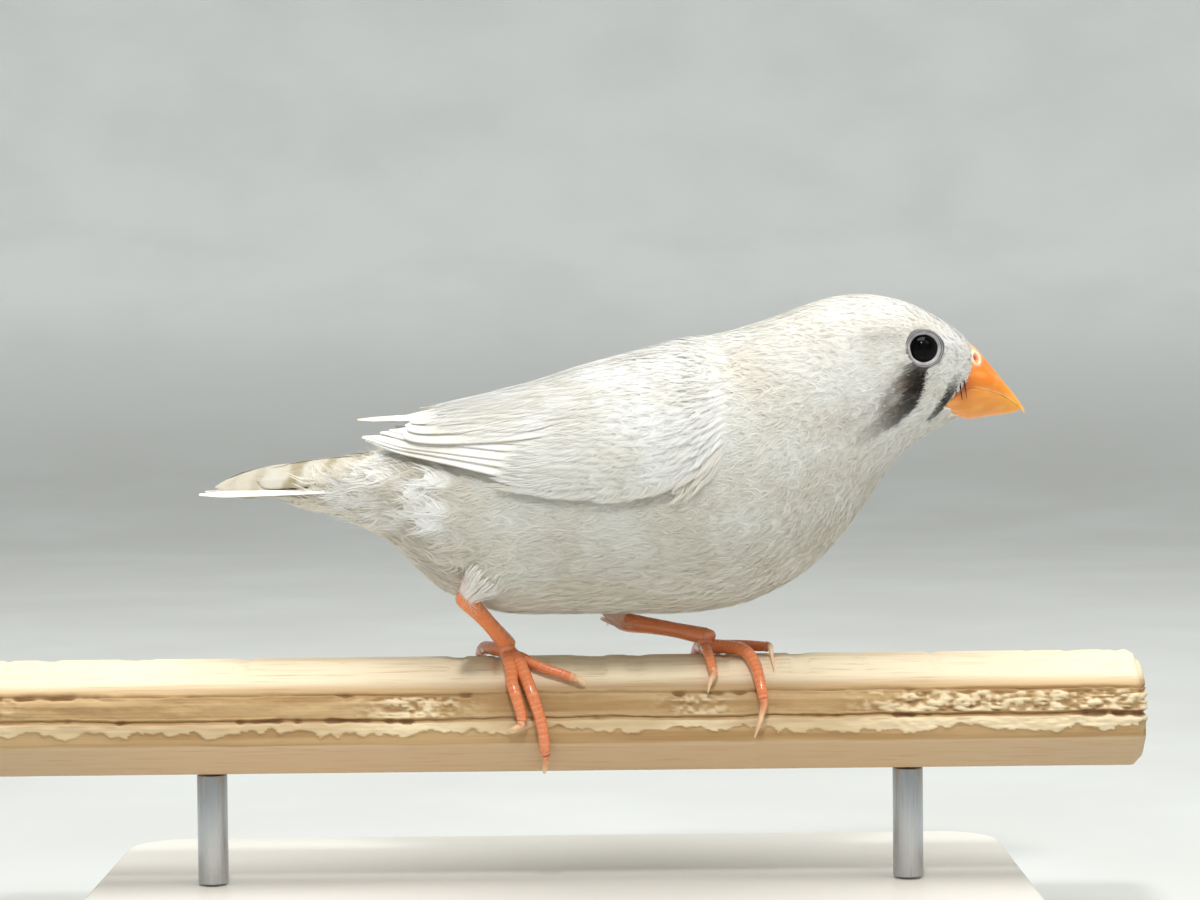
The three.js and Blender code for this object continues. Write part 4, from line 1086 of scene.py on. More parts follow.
class Coat(bpy.types.Operator):
    """The small feathers of the head, neck and body, and the fine strands over them"""

    bl_idname = "finch.coat"
    bl_label = "Coat"

    def execute(self, context):
        sizes = context.scene.finch_plumage
        skin = Surface(bpy.data.objects["skin"].data)
        material = stock(white_contour_feather)
        rng = np.random.default_rng(sizes.seed)
        closer = 1 / sizes.density

        def spacing(x):
            return coat_spacing(x) * closer

        roots = skin.scatter(rng, spacing, lambda places: ~bare_places(places), sizes.tries)
        for name, low, high, barbs in BANDS:
            here = roots[(roots[:, 0] >= low) & (roots[:, 0] < high)]
            sheaf = Sheaf()
            self.contour(sheaf, skin, here, barbs, rng)
            self.fine(sheaf, skin, here, rng)
            if name == "coat_belly":
                self.garters(sheaf, rng)
            if name == "coat_rump":
                self.plumes(sheaf, skin, here, rng)
            finish_mesh(name, sheaf.mesh(name), material)
        return {"FINISHED"}

    def contour(self, sheaf, skin, roots, barbs, rng):
        """The contour feathers, looser and longer on the flanks and round the vent."""
        x, _, z = roots.T
        loose = ease((-6 - x) / 10) * ease((66 - z) / 5)
        length = coat_length(x) * (1 + 0.1 * rng.normal(size=len(x))) * (1 + 0.3 * loose)
        depth = coat_depth(x)
        sway = rng.normal(0, 0.08, len(x)) * (1 + 2.5 * loose)
        raised = depth * (1.0 + 0.06 * rng.normal(size=len(x))) * (1 + 0.5 * loose)
        path = skin.lay(roots, length, 5, 0.12 * depth, raised, sway)
        width = mix(0.075, 0.115, ease((length - 1.2) / 3))
        grow(
            sheaf, path, length * 0.27, markings, unwrap(roots), rng,
            barbs=barbs, width=width[:, None, None], ragged=0.1 + 0.14 * loose[:, None],
        )

    def plumes(self, sheaf, skin, roots, rng):
        """Loose white plumes that stand off the flanks beside the root of the tail, a purer white than the
        coat round them as painted light on their tops.
        """
        x, _, z = roots.T
        wanted = (x > -25) & (x < -11.5) & (z > 54.5) & (z < 64) & (rng.random(len(x)) < 0.46)
        roots = roots[wanted]
        count = len(roots)
        length = rng.uniform(4.5, 7.0, count)
        path = skin.lay(
            roots, length, 6, np.full(count, 0.2), rng.uniform(0.9, 1.9, count), rng.normal(0, 0.3, count)
        )
        grow(
            sheaf,
            path,
            length * 0.25,
            # Painted light: pure white, lighter than the creamy coat round them
            lambda places: np.broadcast_to(linear("#FEFEFD"), places.shape),
            unwrap(roots),
            rng,
            barbs=28, width=0.09, sweep=0.5, cup=0.12, ragged=0.22,
        )

    def garters(self, sheaf, rng):
        """Fine down that closes round the top of each leg, pink where the leg shows through."""
        for name, foot in FEET.items():
            knee, heel, joint = (np.array(v, float) for v in (foot["thigh"][1], foot["heel"], foot["joint"]))
            down, along = unit(heel - knee), unit(joint - heel)
            count = 900
            start = rng.uniform(-4.2 if name == "right" else -2.9, -0.4, count)
            turn = rng.uniform(0, 2 * math.pi, count)
            length = rng.uniform(2.0, 3.4, count)
            across, up = frame_across(down[None], np.array([[0.0, 0, 1.0]]))
            ring = (across * np.cos(turn)[:, None] + up * np.sin(turn)[:, None])[:, None]
            u = np.linspace(0, 1, 6)
            off = start[:, None] + length[:, None] * u
            wide = 2.7 if name == "right" else 1.9
            reach = mix(1.15, wide, ease(-off / 3.6)) * rng.uniform(0.94, 1.12, (count, 1))
            centre = heel + ring * reach[..., None]
            centre = centre + np.where(off[..., None] > 0, along, down) * off[..., None]
            path = make_path(centre, np.broadcast_to(ring, centre.shape))
            pink = ease((start + length) / 2.4)[:, None]
            colour = mix(
                tone("white"), linear("#F0AE90"), 0.5 * pink if name == "right" else 0.5 + 0.4 * pink
            )
            strands(sheaf, path, colour, unwrap(centre[:, 0]), rng, 0.1, 0.1)

    def fine(self, sheaf, skin, roots, rng):
        """Single strands that break the feathers' outlines, as separated barbs do."""
        roots = roots + rng.normal(0, 0.3, roots.shape)
        x, _, z = roots.T
        loose = ease((-6 - x) / 10) * ease((66 - z) / 5)
        length = coat_length(x) * rng.uniform(0.4, 0.9, len(x)) * (1 + 0.4 * loose)
        depth = coat_depth(x)
        path = skin.lay(roots, length, 3, depth * 0.7, depth * rng.uniform(0.85, 1.05 + 0.6 * loose, len(x)))
        strands(sheaf, path, markings(path[0][:, -1]), unwrap(roots), rng, 0.06)


# The wings


def cloak_path(wing, root, tip, steps, lift):
    """Paths over the cloak from roots to tips, each a pair of arrays (x, angle), lifted from root to tip."""
    u = np.linspace(0, 1, steps + 1)[None]
    x = mix(root[0][:, None], tip[0][:, None], u)
    angle = mix(root[1][:, None], tip[1][:, None], u)
    height = mix(lift[0][:, None], lift[1][:, None], u)
    centre = cloak_place(wing, x, angle, height)
    return make_path(centre, unit(cloak_place(wing, x, angle, height + 1.0) - centre))


def straight_path(root, tip, roll, sag, steps):
    """Paths between roots and tips, bowed by a sag, whose flat sides are rolled about the body's length."""
    u = np.linspace(0, 1, steps + 1)[None, :, None]
    outward = stack(0 * roll, -np.sin(roll), np.cos(roll))[:, None]
    centre = mix(root[:, None], tip[:, None], u) + outward * sag * 4 * u * (1 - u)
    return make_path(centre, np.broadcast_to(outward, centre.shape))


def long_vane(u):
    """The outline of a flight feather: even along its length, drawn to a rounded point."""
    return mix(0.8, 1.0, ease(u / 0.5)) * (1 - ease((u - 0.72) / 0.36) ** 1.4) + 0.04


def broad_tip(u):
    """The outline of a tertial, broad and round at its end."""
    rounded = np.sqrt(np.clip(1 - np.clip((u - 0.62) / 0.38, 0, 1) ** 3, 0, 1))
    return mix(0.75, 1.0, ease(u / 0.5)) * rounded + 0.03


def blades(sheaf, path, half, tilt, colours, roots, side=1, shape=long_vane, thick=0.09, cup=0.06):
    """Closed thin vanes with a shaft: the second edge is raised by the tilt, and the edges take a tint that
    is partly painted shade along the overlaps.
    """
    rows = path[0].shape[1]
    columns = 11
    s = np.linspace(-1, 1, columns)
    ring = np.concatenate([s, s[::-1]])
    face = np.repeat([1.0, -1.0], columns)
    u = np.linspace(0, 1, rows)
    centre, outward, across = (part[:, :, None] for part in path)
    reach = side * ring * (half[:, None] * shape(u))[..., None]
    bulge = thick * np.sqrt(1.02 - ring**2) / 2 * face
    shaft = 0.07 * np.exp(-((ring / 0.09) ** 2)) * (face > 0) * (1 - 0.6 * u[:, None])
    height = tilt[:, None, None] * ring + bulge - cup * ring**2 + shaft
    places = centre + across * reach[..., None] + outward * height[..., None]
    # The rim's tint: partly the feathers' creamy edges, partly painted shade where they overlap
    rim = ease((np.abs(ring) - 0.75) / 0.25)[None, None, :, None]
    length = np.linalg.norm(path[0][0, -1] - path[0][0, 0])
    sheaf.add(places, colours(places, rim), roots, closed=True, size=(2 * half.mean(), length))


def by_rise(x, up):
    return x, angle_at_rise(x, up)


def by_share(x, share):
    """Places over the wing, from its lower edge at 0 to its edge by the back at 1."""
    return x, mix(angle_at_rise(x, 0.7), angle_at_half(x, bare_back(x)), share)


def white_vanes(places, rim):
    """White with faintly darker, creamy edges, partly painted shade."""
    return mix(mix(tone("white"), tone("cream"), 0.08), tone("edge_tint_and_shade"), 0.5 * rim)


# The flight feathers from the wing's lower edge up: root and tip as place along the body and rise above
# the lower edge
FLIGHT = np.array(
    [
        (1.0, 1.7, -24.6, 0.1),
        (1.3, 3.5, -25.1, 0.35),
        (1.6, 5.0, -24.0, 0.75),
        (2.0, 6.2, -22.7, 2.0),
        (2.4, 7.6, -21.5, 2.9),
        (2.8, 9.0, -20.2, 3.7),
    ]
)
# The tertials: tip along the body, degrees from the back at root and tip, half width and lift
TERTIALS = np.array(
    [
        (-20.8, 13, 21.5, 1.9, -0.2),
        (-20.0, 52, 47.5, 2.8, -0.12),
        (-19.5, 41, 39, 2.9, -0.11),
        (-19.2, 29, 29, 2.9, -0.1),
    ]
)


def plain_vanes(places, rim):
    """White all over but for a hint of cream at the edges, partly painted shade."""
    return mix(linear("#EFEEE9"), tone("edge_tint_and_shade"), 0.15 * rim)


def cream_vanes(places, rim):
    # Cream, the edges darkened, partly painted shade
    return mix(mix(tone("white"), tone("cream"), 0.7), tone("edge_tint_and_shade"), 0.3 * rim)


class Wings(bpy.types.Operator):
    """Both folded wings: flight feathers, tertials, coverts in tiers, scapulars and shoulder feathers"""

    bl_idname = "finch.wings"
    bl_label = "Wings"

    def execute(self, context):
        vane, down = stock(white_flight_feather), stock(white_contour_feather)
        for wing in WINGS:
            rng = np.random.default_rng(context.scene.finch_plumage.seed + 11)
            closed = Sheaf()
            self.flight(closed, wing)
            mesh = closed.mesh("wing_feathers_" + wing)
            finish_mesh("wing_feathers_" + wing, mesh, vane, ("wing_" + wing,))
            small = Sheaf()
            self.coverts(small, wing, rng)
            finish_mesh("wing_coverts_" + wing, small.mesh("wing_coverts_" + wing), down)
        return {"FINISHED"}

    def flight(self, sheaf, wing):
        """The flight feathers, then the tertials on them."""
        far = wing == "left"
        root_x, root_up, tip_x, tip_up = FLIGHT.T
        if far:
            tip_x, tip_up = np.maximum(tip_x, -20.2), 0.45 * tip_up
        lift = -0.34 + 0.04 * np.arange(len(FLIGHT))
        path = cloak_path(wing, by_rise(root_x, root_up), by_rise(tip_x, tip_up), 28, (lift, lift))
        half = np.full(len(FLIGHT), 0.85 if far else 1.3)
        self.lay(sheaf, path, half, np.full(len(FLIGHT), 0.06), wing)
        tip_x, root_turn, tip_turn, half, lift = TERTIALS.T
        tip_x = tip_x + (3.4 if far else 0.0)
        root = np.full(len(TERTIALS), 7.0), root_turn * DEGREE
        path = cloak_path(wing, root, (tip_x, tip_turn * DEGREE), 28, (lift - 0.1, lift))
        self.lay(sheaf, path, half, np.full(len(TERTIALS), 0.0), wing, broad_tip, plain_vanes)
        if far:
            # The topmost feathers of the raised tip lie flat and catch the light
            i = np.arange(3)
            root = stack(-9.0 + 0 * i, 11.5 - 1.2 * i, 67.8 + 0.15 * i)
            tip = stack(-26.7 + 0.9 * i, 6.6 + 0.2 * i, 68.25 + 0.02 * i)
            path = straight_path(root, tip, np.full(3, 17 * DEGREE), 0.2, 24)
            self.lay(sheaf, path, np.full(3, 1.25), np.zeros(3), wing, long_vane, cream_vanes)

    def lay(self, sheaf, path, half, tilt, wing, shape=long_vane, colours=white_vanes):
        """Closed feathers along their paths, on the wing's side."""
        blades(sheaf, path, half, tilt, colours, unwrap(path[0][:, 0]), WINGS[wing][0], shape)

    def coverts(self, sheaf, wing, rng):
        # Greater coverts, whose tips end the bands of the flight feathers, and a second row over them
        for row in range(3):
            i = np.arange(15) * 0.5 + 0.17 * row
            x = -7.9 + 1.7 * row + 0.5 * i + rng.normal(0, 0.15, 15)
            root, tip = by_rise(x + 7.5, 1.3 + 1.3 * i), by_rise(x, 0.75 + 1.45 * i)
            self.soft(sheaf, wing, root, tip, 1.5, (-0.2, -0.08 + 0.05 * row), rng)
        # Median coverts
        for row in range(3):
            i = np.arange(13) * 0.46
            x = -3.4 + 1.9 * row + 0.8 * i + rng.normal(0, 0.2, 13)
            root, tip = by_rise(x + 7, 1.7 + 2.0 * i), by_rise(x, 1.3 + 2.1 * i)
            self.soft(sheaf, wing, root, tip, 1.7, (-0.16, 0.08 + 0.04 * row), rng)
        # Scapulars, from the shoulder over the roots of the tertials
        for row in range(0 if wing == "right" else 3, 8):
            count = 10
            turn = np.linspace(45 if row == 0 else 52 - 1.4 * row, 5, count) * DEGREE
            x = np.full(count, -16.9 + 2.6 * row) + np.linspace(0.9, 0, count) + rng.normal(0, 0.5, count)
            self.soft(sheaf, wing, (x + 8.4, turn + 0.05), (x, turn), 1.9, (0.0, 0.1 + 0.02 * row), rng)
        # Lesser coverts in rows over the shoulder
        for row in range(14):
            x = 3.2 + 1.35 * row
            low, top = by_share(x, 0.0)[1], by_share(x, 1.0)[1]
            count = max(5, int((low - top) * cloak_girth(x) / 1.15))
            share = np.linspace(0, 1, count) + rng.normal(0, 0.012, count)
            tip_x = np.full(count, x) + rng.normal(0, 0.35, count)
            root_x = tip_x + 5.4
            root, tip = by_share(root_x, share), by_share(tip_x, share)
            self.soft(sheaf, wing, root, tip, 1.2, (-0.15, 0.2), rng, 24)
        # Feathers of the mantle close over the wings' upper edges
        for row in range(18):
            x = -7.0 + 1.4 * row
            reach = angle_at_half(x, bare_back(x)) + 0.28
            count = max(3, int(reach * cloak_girth(x) / 1.15))
            turn = np.linspace(0.04, reach, count) + rng.normal(0, 0.015, count)
            tip_x = np.full(count, x) + rng.normal(0, 0.4, count)
            self.soft(sheaf, wing, (tip_x + 5.8, turn), (tip_x, turn), 1.3, (-0.5, 0.15), rng, 24)
        # Feathers of the breast's side veil its front edge
        for row in range(8):
            share = np.linspace(-0.06, 1.2, 20) + rng.normal(0, 0.02, 20)
            tip_x = 14.0 + 1.3 * row + rng.normal(0, 0.4, 20)
            root, tip = by_share(tip_x + 6.0, share), by_share(tip_x, share)
            self.soft(sheaf, wing, root, tip, 1.25, (-0.55, 0.24), rng, 22)

    def soft(self, sheaf, wing, root, tip, half, lift, rng, barbs=30):
        """Soft small feathers over the wing, between roots and tips."""
        count = len(root[0])
        # Towards the wing's front they sink into the coat of the breast
        lifts = tuple(
            value + rng.normal(0, 0.015, count) - 1.0 * ease((end[0] - 16.5) / 5.5)
            for value, end in zip(lift, (root, tip))
        )
        path = cloak_path(wing, root, tip, 6, lifts)
        halves = half * (1 + 0.06 * rng.normal(size=count))
        grow(
            sheaf, path, halves, wing_colour, unwrap(path[0][:, 0]), rng,
            barbs=barbs, width=0.12, sweep=0.36, cup=0.03, ragged=0.035,
        )


def wing_colour(places):
    """White, a little warmer along the wing's lower rim."""
    x, _, z = places.reshape(-1, 3).T
    rim = 1 - ease((z - lower_edge(x)) / 1.0)
    colour = mix(linear("#E8E8E5"), linear("#E6DDCC"), (0.45 * rim)[:, None])
    return colour.reshape(places.shape)


# The tail


# Bars across the tail's roof: where each meets its ridge, half its width and how dark it is
TAIL_BARS = [(-25.4, 0.7, 0.6), (-29.4, 0.6, 0.9), (-33.6, 0.85, 1.0), (-38.7, 0.6, 0.55), (-42.0, 0.4, 0.2)]


def tail_colour(places, rim=0.0):
    """Creamy white darkened to grey beige as painted shade, crossed by faint beige bars that slant back down
    the roof's sides; rims partly painted shade.
    """
    x, _, z = places.reshape(-1, 3).T
    # Painted shade: a grey beige base, well below the plumage's white, darkens the tail as a whole
    colour = np.tile(linear("#C8C3B6"), (len(x), 1))
    uneven = 0.25 * waves(places.reshape(-1, 3), 1.4, 31)
    for at, half, strength in TAIL_BARS:
        off = np.abs(x - at + 0.45 * (tail_top(x) - z) + uneven) / half
        colour = mix(colour, tone("tail_bar"), (strength * (1 - ease((off - 0.6) / 0.8)))[:, None])
    return mix(colour.reshape(places.shape), tone("edge_tint_and_shade"), 0.2 * rim)


def pale_vanes(places, rim):
    # Pale white, the edges darkened, partly painted shade
    return mix(mix(tone("white"), tone("cream"), 0.1), tone("edge_tint_and_shade"), 0.3 * rim)


class Tail(bpy.types.Operator):
    """The tail feathers laid like a roof, and the coverts over and under them"""

    bl_idname = "finch.tail"
    bl_label = "Tail"

    def execute(self, context):
        rng = np.random.default_rng(context.scene.finch_plumage.seed + 23)
        long_ones, small = Sheaf(), Sheaf()
        for side in (1, -1):
            self.feathers(long_ones, side)
            self.coverts(small, side, rng)
        vane = stock(white_flight_feather)
        finish_mesh("tail_feathers", long_ones.mesh("tail_feathers"), vane, ("tail",))
        finish_mesh("tail_coverts", small.mesh("tail_coverts"), stock(white_contour_feather))
        return {"FINISHED"}

    def feathers(self, sheaf, side):
        # The roof: barred feathers, steeper towards the sides
        i = np.arange(5)
        root = stack(-29.5, -side * (0.9 + 0.62 * i), 62.0 - 0.16 * i - 0.09 * i * i)
        tip = stack(-44.9 + 0.35 * i, -side * (0.5 + 0.42 * i), 59.75 - 0.1 * i)
        roll = side * (34 + 7 * i) * DEGREE
        path = straight_path(root, tip, roll, 1.05 - 0.12 * i[:, None, None], 22)
        blades(sheaf, path, np.full(5, 1.45), np.zeros(5), tail_colour, unwrap(root), side, cup=0.08)
        # Long coverts, barred like it, in rows towards the rump
        for row, (tip_x, root_x) in enumerate(
            [(-39.6, -29.0), (-36.6, -27.0), (-33.8, -24.5), (-31.2, -22.0)]
        ):
            share = (np.arange(4) + 0.75) / 4.6
            root_y, tip_y = 5.4 * share, (3.3 + 0.2 * (tip_x + 39.6)) * share
            root = stack(root_x, -side * root_y, tail_top(root_x) - 0.1 * root_y**2 - 0.1)
            tip = stack(
                tip_x + 0.5 * share, -side * tip_y, tail_top(tip_x) - 0.15 * tip_y**2 - 0.06 + 0.06 * row
            )
            path = straight_path(root, tip, side * (4 + 66 * share) * DEGREE, 0.2, 16)
            half, flat = 1.55 - 0.35 * share, np.zeros(4)
            blades(sheaf, path, half, flat, tail_colour, unwrap(root), side, broad_tip, cup=0.12)
        # The pale outer pair lie flat under it and reach a little further
        root = stack(-28.6, -side * 4.5, 59.45)[None]
        tip = stack(-46.7, -side * 3.0, 58.95)[None]
        path = straight_path(root, tip, np.array([side * 13 * DEGREE]), 0.05, 22)
        blades(sheaf, path, np.array([1.7]), np.zeros(1), pale_vanes, unwrap(root), side, thick=0.16, cup=0.1)

    def coverts(self, sheaf, side, rng):
        """Long barred coverts over the tail and white ones under it, in rows."""
        rows = [(-28.6, -20.0, 5), (-26.2, -18.0, 6)]
        for row, (tip_x, root_x, count) in enumerate(rows):
            for share in (np.arange(count) + 0.5) / count:
                root_y, tip_y = 5.6 * share, (3.6 + 0.2 * (tip_x + 38.6)) * share
                roll = np.array([side * (14 + 58 * share) * DEGREE])
                root = stack(root_x, -side * root_y, tail_top(root_x) - 0.1 * root_y**2 - 0.2)[None]
                drop = 0.15 * tip_y**2 - 0.35 - 0.1 * row
                tip = stack(tip_x + rng.normal(0, 0.25), -side * tip_y, tail_top(tip_x) - drop)[None]
                self.soft(sheaf, straight_path(root, tip, roll, 0.25, 10), 1.35, rng, tail_colour)
        # White feathers of the rump between the wings
        for row in range(7):
            tip_x = -25.0 + 2.1 * row
            root_x = tip_x + 7.0
            share = (np.arange(7) + 0.4) / 7
            reach = 5.6 + 0.5 * row
            root = stack(root_x, -side * reach * share, rump(root_x) - 0.045 * (reach * share) ** 2 - 0.25)
            tip_at = tip_x + rng.normal(0, 0.3, 7)
            tip = stack(tip_at, -side * reach * share, rump(tip_at) - 0.045 * (reach * share) ** 2 + 0.2)
            path = straight_path(root, tip, side * 35 * DEGREE * share, 0.1, 10)
            self.soft(sheaf, path, 1.5, rng, markings)
        coverts = [(-38.0, 0.8, 1.0, 170), (-37.6, 1.5, 1.8, 162), (-36.4, 2.1, 2.6, 154)]
        coverts += [(-35.0, 2.6, 3.3, 144), (-33.7, 3.1, 3.9, 132), (-32.5, 3.6, 4.4, 118)]
        for tip_x, tip_y, root_y, turn in coverts:
            root = stack(-27.2, -side * root_y, tail_under(-27.2) + 0.075 * root_y**2 + 0.4)[None]
            tip = stack(tip_x, -side * tip_y, tail_under(tip_x) + 0.075 * tip_y**2)[None]
            path = straight_path(root, tip, np.array([side * turn * DEGREE]), 0.1, 10)
            self.soft(sheaf, path, 1.6, rng, markings)

    def soft(self, sheaf, path, half, rng, colours):
        place = path[0][:, 0]
        grow(
            sheaf, path, np.full(len(place), half), colours, unwrap(place), rng,
            barbs=34, width=0.13, sweep=0.2, cup=0.06, ragged=0.08,
        )


# The head's bare parts

ridge = profile(
    [
        (50.6, 80.0), (54.6, 77.6), (55.9, 76.3), (57.2, 74.7), (58.5, 73.1), (59.8, 71.5),
        (60.8, 70.2), (61.6, 68.9),
    ]
)
cutting_edge = profile(
    [(50.6, 69.6), (52.3, 70.5), (54.0, 71.7), (56.5, 71.4), (58.9, 70.5), (60.8, 69.2), (61.6, 68.4)]
)
keel = profile([(50.6, 68.6), (53.2, 67.9), (54.4, 67.7), (57.1, 68.0), (60.2, 68.5), (60.9, 68.75)])
bill_half = profile(
    [
        (50.6, 4.8), (52.3, 4.55), (54.5, 4.1), (56.4, 3.4), (58.4, 2.4), (60.2, 1.35),
        (61.1, 0.75), (61.6, 0.35),
    ]
)
NOSTRIL = {"x": 55.0, "angle": 46, "width": 0.45, "height": 0.72, "rim": 0.2, "depth": 0.6}


def bill_gap(x):
    """Half the slit between the bill's halves; behind the gape the lower one is tucked into the upper."""
    return mix(-0.12, 0.012, ease((x - 53.2) / 1.2))


def bill_place(x, turn, crest, side):
    """A place on one half of the bill, an arch over its cutting edge (side 1) or under it (side -1)."""
    edge = cutting_edge(x) + side * bill_gap(x)
    y = bill_half(x) * power(np.cos(turn), 0.95)
    return stack(x, y, mix(edge, crest(x), np.abs(np.sin(turn)) ** 1.05))


def nostril_shape(places):
    """How far each place on the bill sinks into the nostril's pit or rises on its rim, and both as shares."""
    spot = bill_place(np.array([NOSTRIL["x"]]), np.array([NOSTRIL["angle"] * DEGREE]), ridge, 1)[0]
    off = places - spot
    off_mirror = places - spot * (1, -1, 1)
    off = np.where(np.abs(off[:, 1:2]) < np.abs(off_mirror[:, 1:2]), off, off_mirror)
    ring = np.hypot(off[:, 0] / NOSTRIL["width"], np.hypot(off[:, 1], off[:, 2]) / NOSTRIL["height"])
    pit = 1 - ease((ring - 0.55) / 0.5)
    rim = np.exp(-(((ring - 1.35) / 0.34) ** 2))
    return pit, rim


class Bill(bpy.types.Operator):
    """The bill's two halves, with nostrils, and the bristles at the gape"""

    bl_idname = "finch.bill"
    bl_label = "Bill"

    def execute(self, context):
        material = stock(orange_bill_horn)
        for name, crest, side, last in (("upper", ridge, 1, 61.6), ("lower", keel, -1, 60.9)):
            def place(u, v, crest=crest, side=side, last=last):
                x = mix(50.8, last, 1 - (1 - u) ** 1.25)
                turn = math.pi * np.clip(v / 0.8, 0, 1)
                arch = bill_place(x, turn, crest, side)
                under = np.clip((v - 0.8) / 0.2, 0, 1)
                flat = stack(x, mix(-1.0, 1.0, under) * bill_half(x), cutting_edge(x) + side * bill_gap(x))
                return np.where((v > 0.8)[:, None], flat, arch)

            bm = bmesh.new()
            shaped_tube(bm, place, 84, 96)
            mesh = to_mesh("bill_" + name, bm)
            self.carve(mesh, side)
            finish_mesh("horn_" + name, mesh, material, ("bill_" + name,))
        self.bristles()
        return {"FINISHED"}

    def carve(self, mesh, side):
        """Sinks the nostrils, ripples the cutting edge and keeps the horn's colours, with a painted highlight
        along the cutting edge.
        """
        places, outward = mesh_places(mesh).astype(float), mesh_normals(mesh)
        x, y, z = places.T
        pit, rim = nostril_shape(places) if side > 0 else (np.zeros(len(x)), np.zeros(len(x)))
        near_edge = np.exp(-(((z - cutting_edge(x)) / 0.5) ** 2))
        ripple = 0.05 * np.sin(x * 3.1 + 1.3 * np.sign(y)) * near_edge * (side > 0)
        swell = 0.045 * waves(places, 2.6, 5)
        height = NOSTRIL["rim"] * rim - NOSTRIL["depth"] * pit + ripple + swell
        set_places(mesh, places + outward * height[:, None])
        tip = ease((x - 57.0) / 4.4)
        upper = mix(tone("bill"), linear("#FBAF36"), (tip * 0.95)[:, None])
        lower = mix(tone("bill_lower"), linear("#F6AA34"), tip[:, None])
        colour = upper if side > 0 else lower
        low_band = ease((cutting_edge(x) + 2.4 - z) / 2.0) * (side > 0) * (1 - tip)
        colour = mix(colour, linear("#CF7C24"), (0.65 * low_band)[:, None])
        streaks = waves(stack(x * 0.5, y * 2, z * 2), 1.5, 8)
        colour = mix(colour, linear("#FFC877"), (0.22 * ease(streaks * 0.8))[:, None])
        pale = 0.8 * np.exp(-((np.hypot(x - 54.5, z - 76.3) / 1.1) ** 2)) * (side > 0) + 0.65 * rim
        colour = mix(colour, linear("#FBE3C2"), np.clip(pale, 0, 0.9)[:, None])
        colour = mix(colour, linear("#C9542F"), np.clip(1.2 * pit, 0, 1)[:, None])
        gape = np.exp(-((np.hypot(x - 53.0, (z - 72.2) * 0.7) / 1.3) ** 2))
        colour = mix(colour, linear("#9C4524"), np.clip(0.85 * gape, 0, 1)[:, None])
        # Painted highlight: a pale line along the upper half's cutting edge
        edge = np.exp(-(((z - cutting_edge(x) - 0.1) / 0.12) ** 2)) * (side > 0) * ease((x - 54) / 1.5)
        colour = mix(colour, linear("#FFD08A"), np.clip(0.6 * edge, 0, 1)[:, None])
        paint(mesh, colour, "horn_colour_and_highlight")

    def bristles(self):
        """Short dark bristles that curve down over the gape."""
        sheaf = Sheaf()
        rng = np.random.default_rng(5)
        for side in (1, -1):
            for x, z, tip_x, tip_z in [
                (53.1, 73.4, 53.6, 70.5), (52.5, 73.3, 52.9, 70.3), (52.2, 72.4, 52.1, 70.8)
            ]:
                u = np.linspace(0, 1, 6)[None]
                xs, zs = mix(x, tip_x, u), mix(z, tip_z, u)
                arch = np.clip((zs - cutting_edge(xs)) / (ridge(xs) - cutting_edge(xs)), 0, 1)
                y = -side * (bill_half(xs) * np.cos(np.arcsin(arch)) + 0.22 + 0.5 * u * (1 - u))
                centre = stack(xs, y, zs)
                outward = np.broadcast_to(np.array([0.3, -side, 0.1]), centre.shape)
                path = make_path(centre, unit(outward))
                strands(sheaf, path, np.array([linear("#2E120C")]), unwrap(centre[:, 0]), rng, 0.36, 0.02)
        finish_mesh("gape_bristles", sheaf.mesh("gape_bristles"), stock(white_contour_feather))


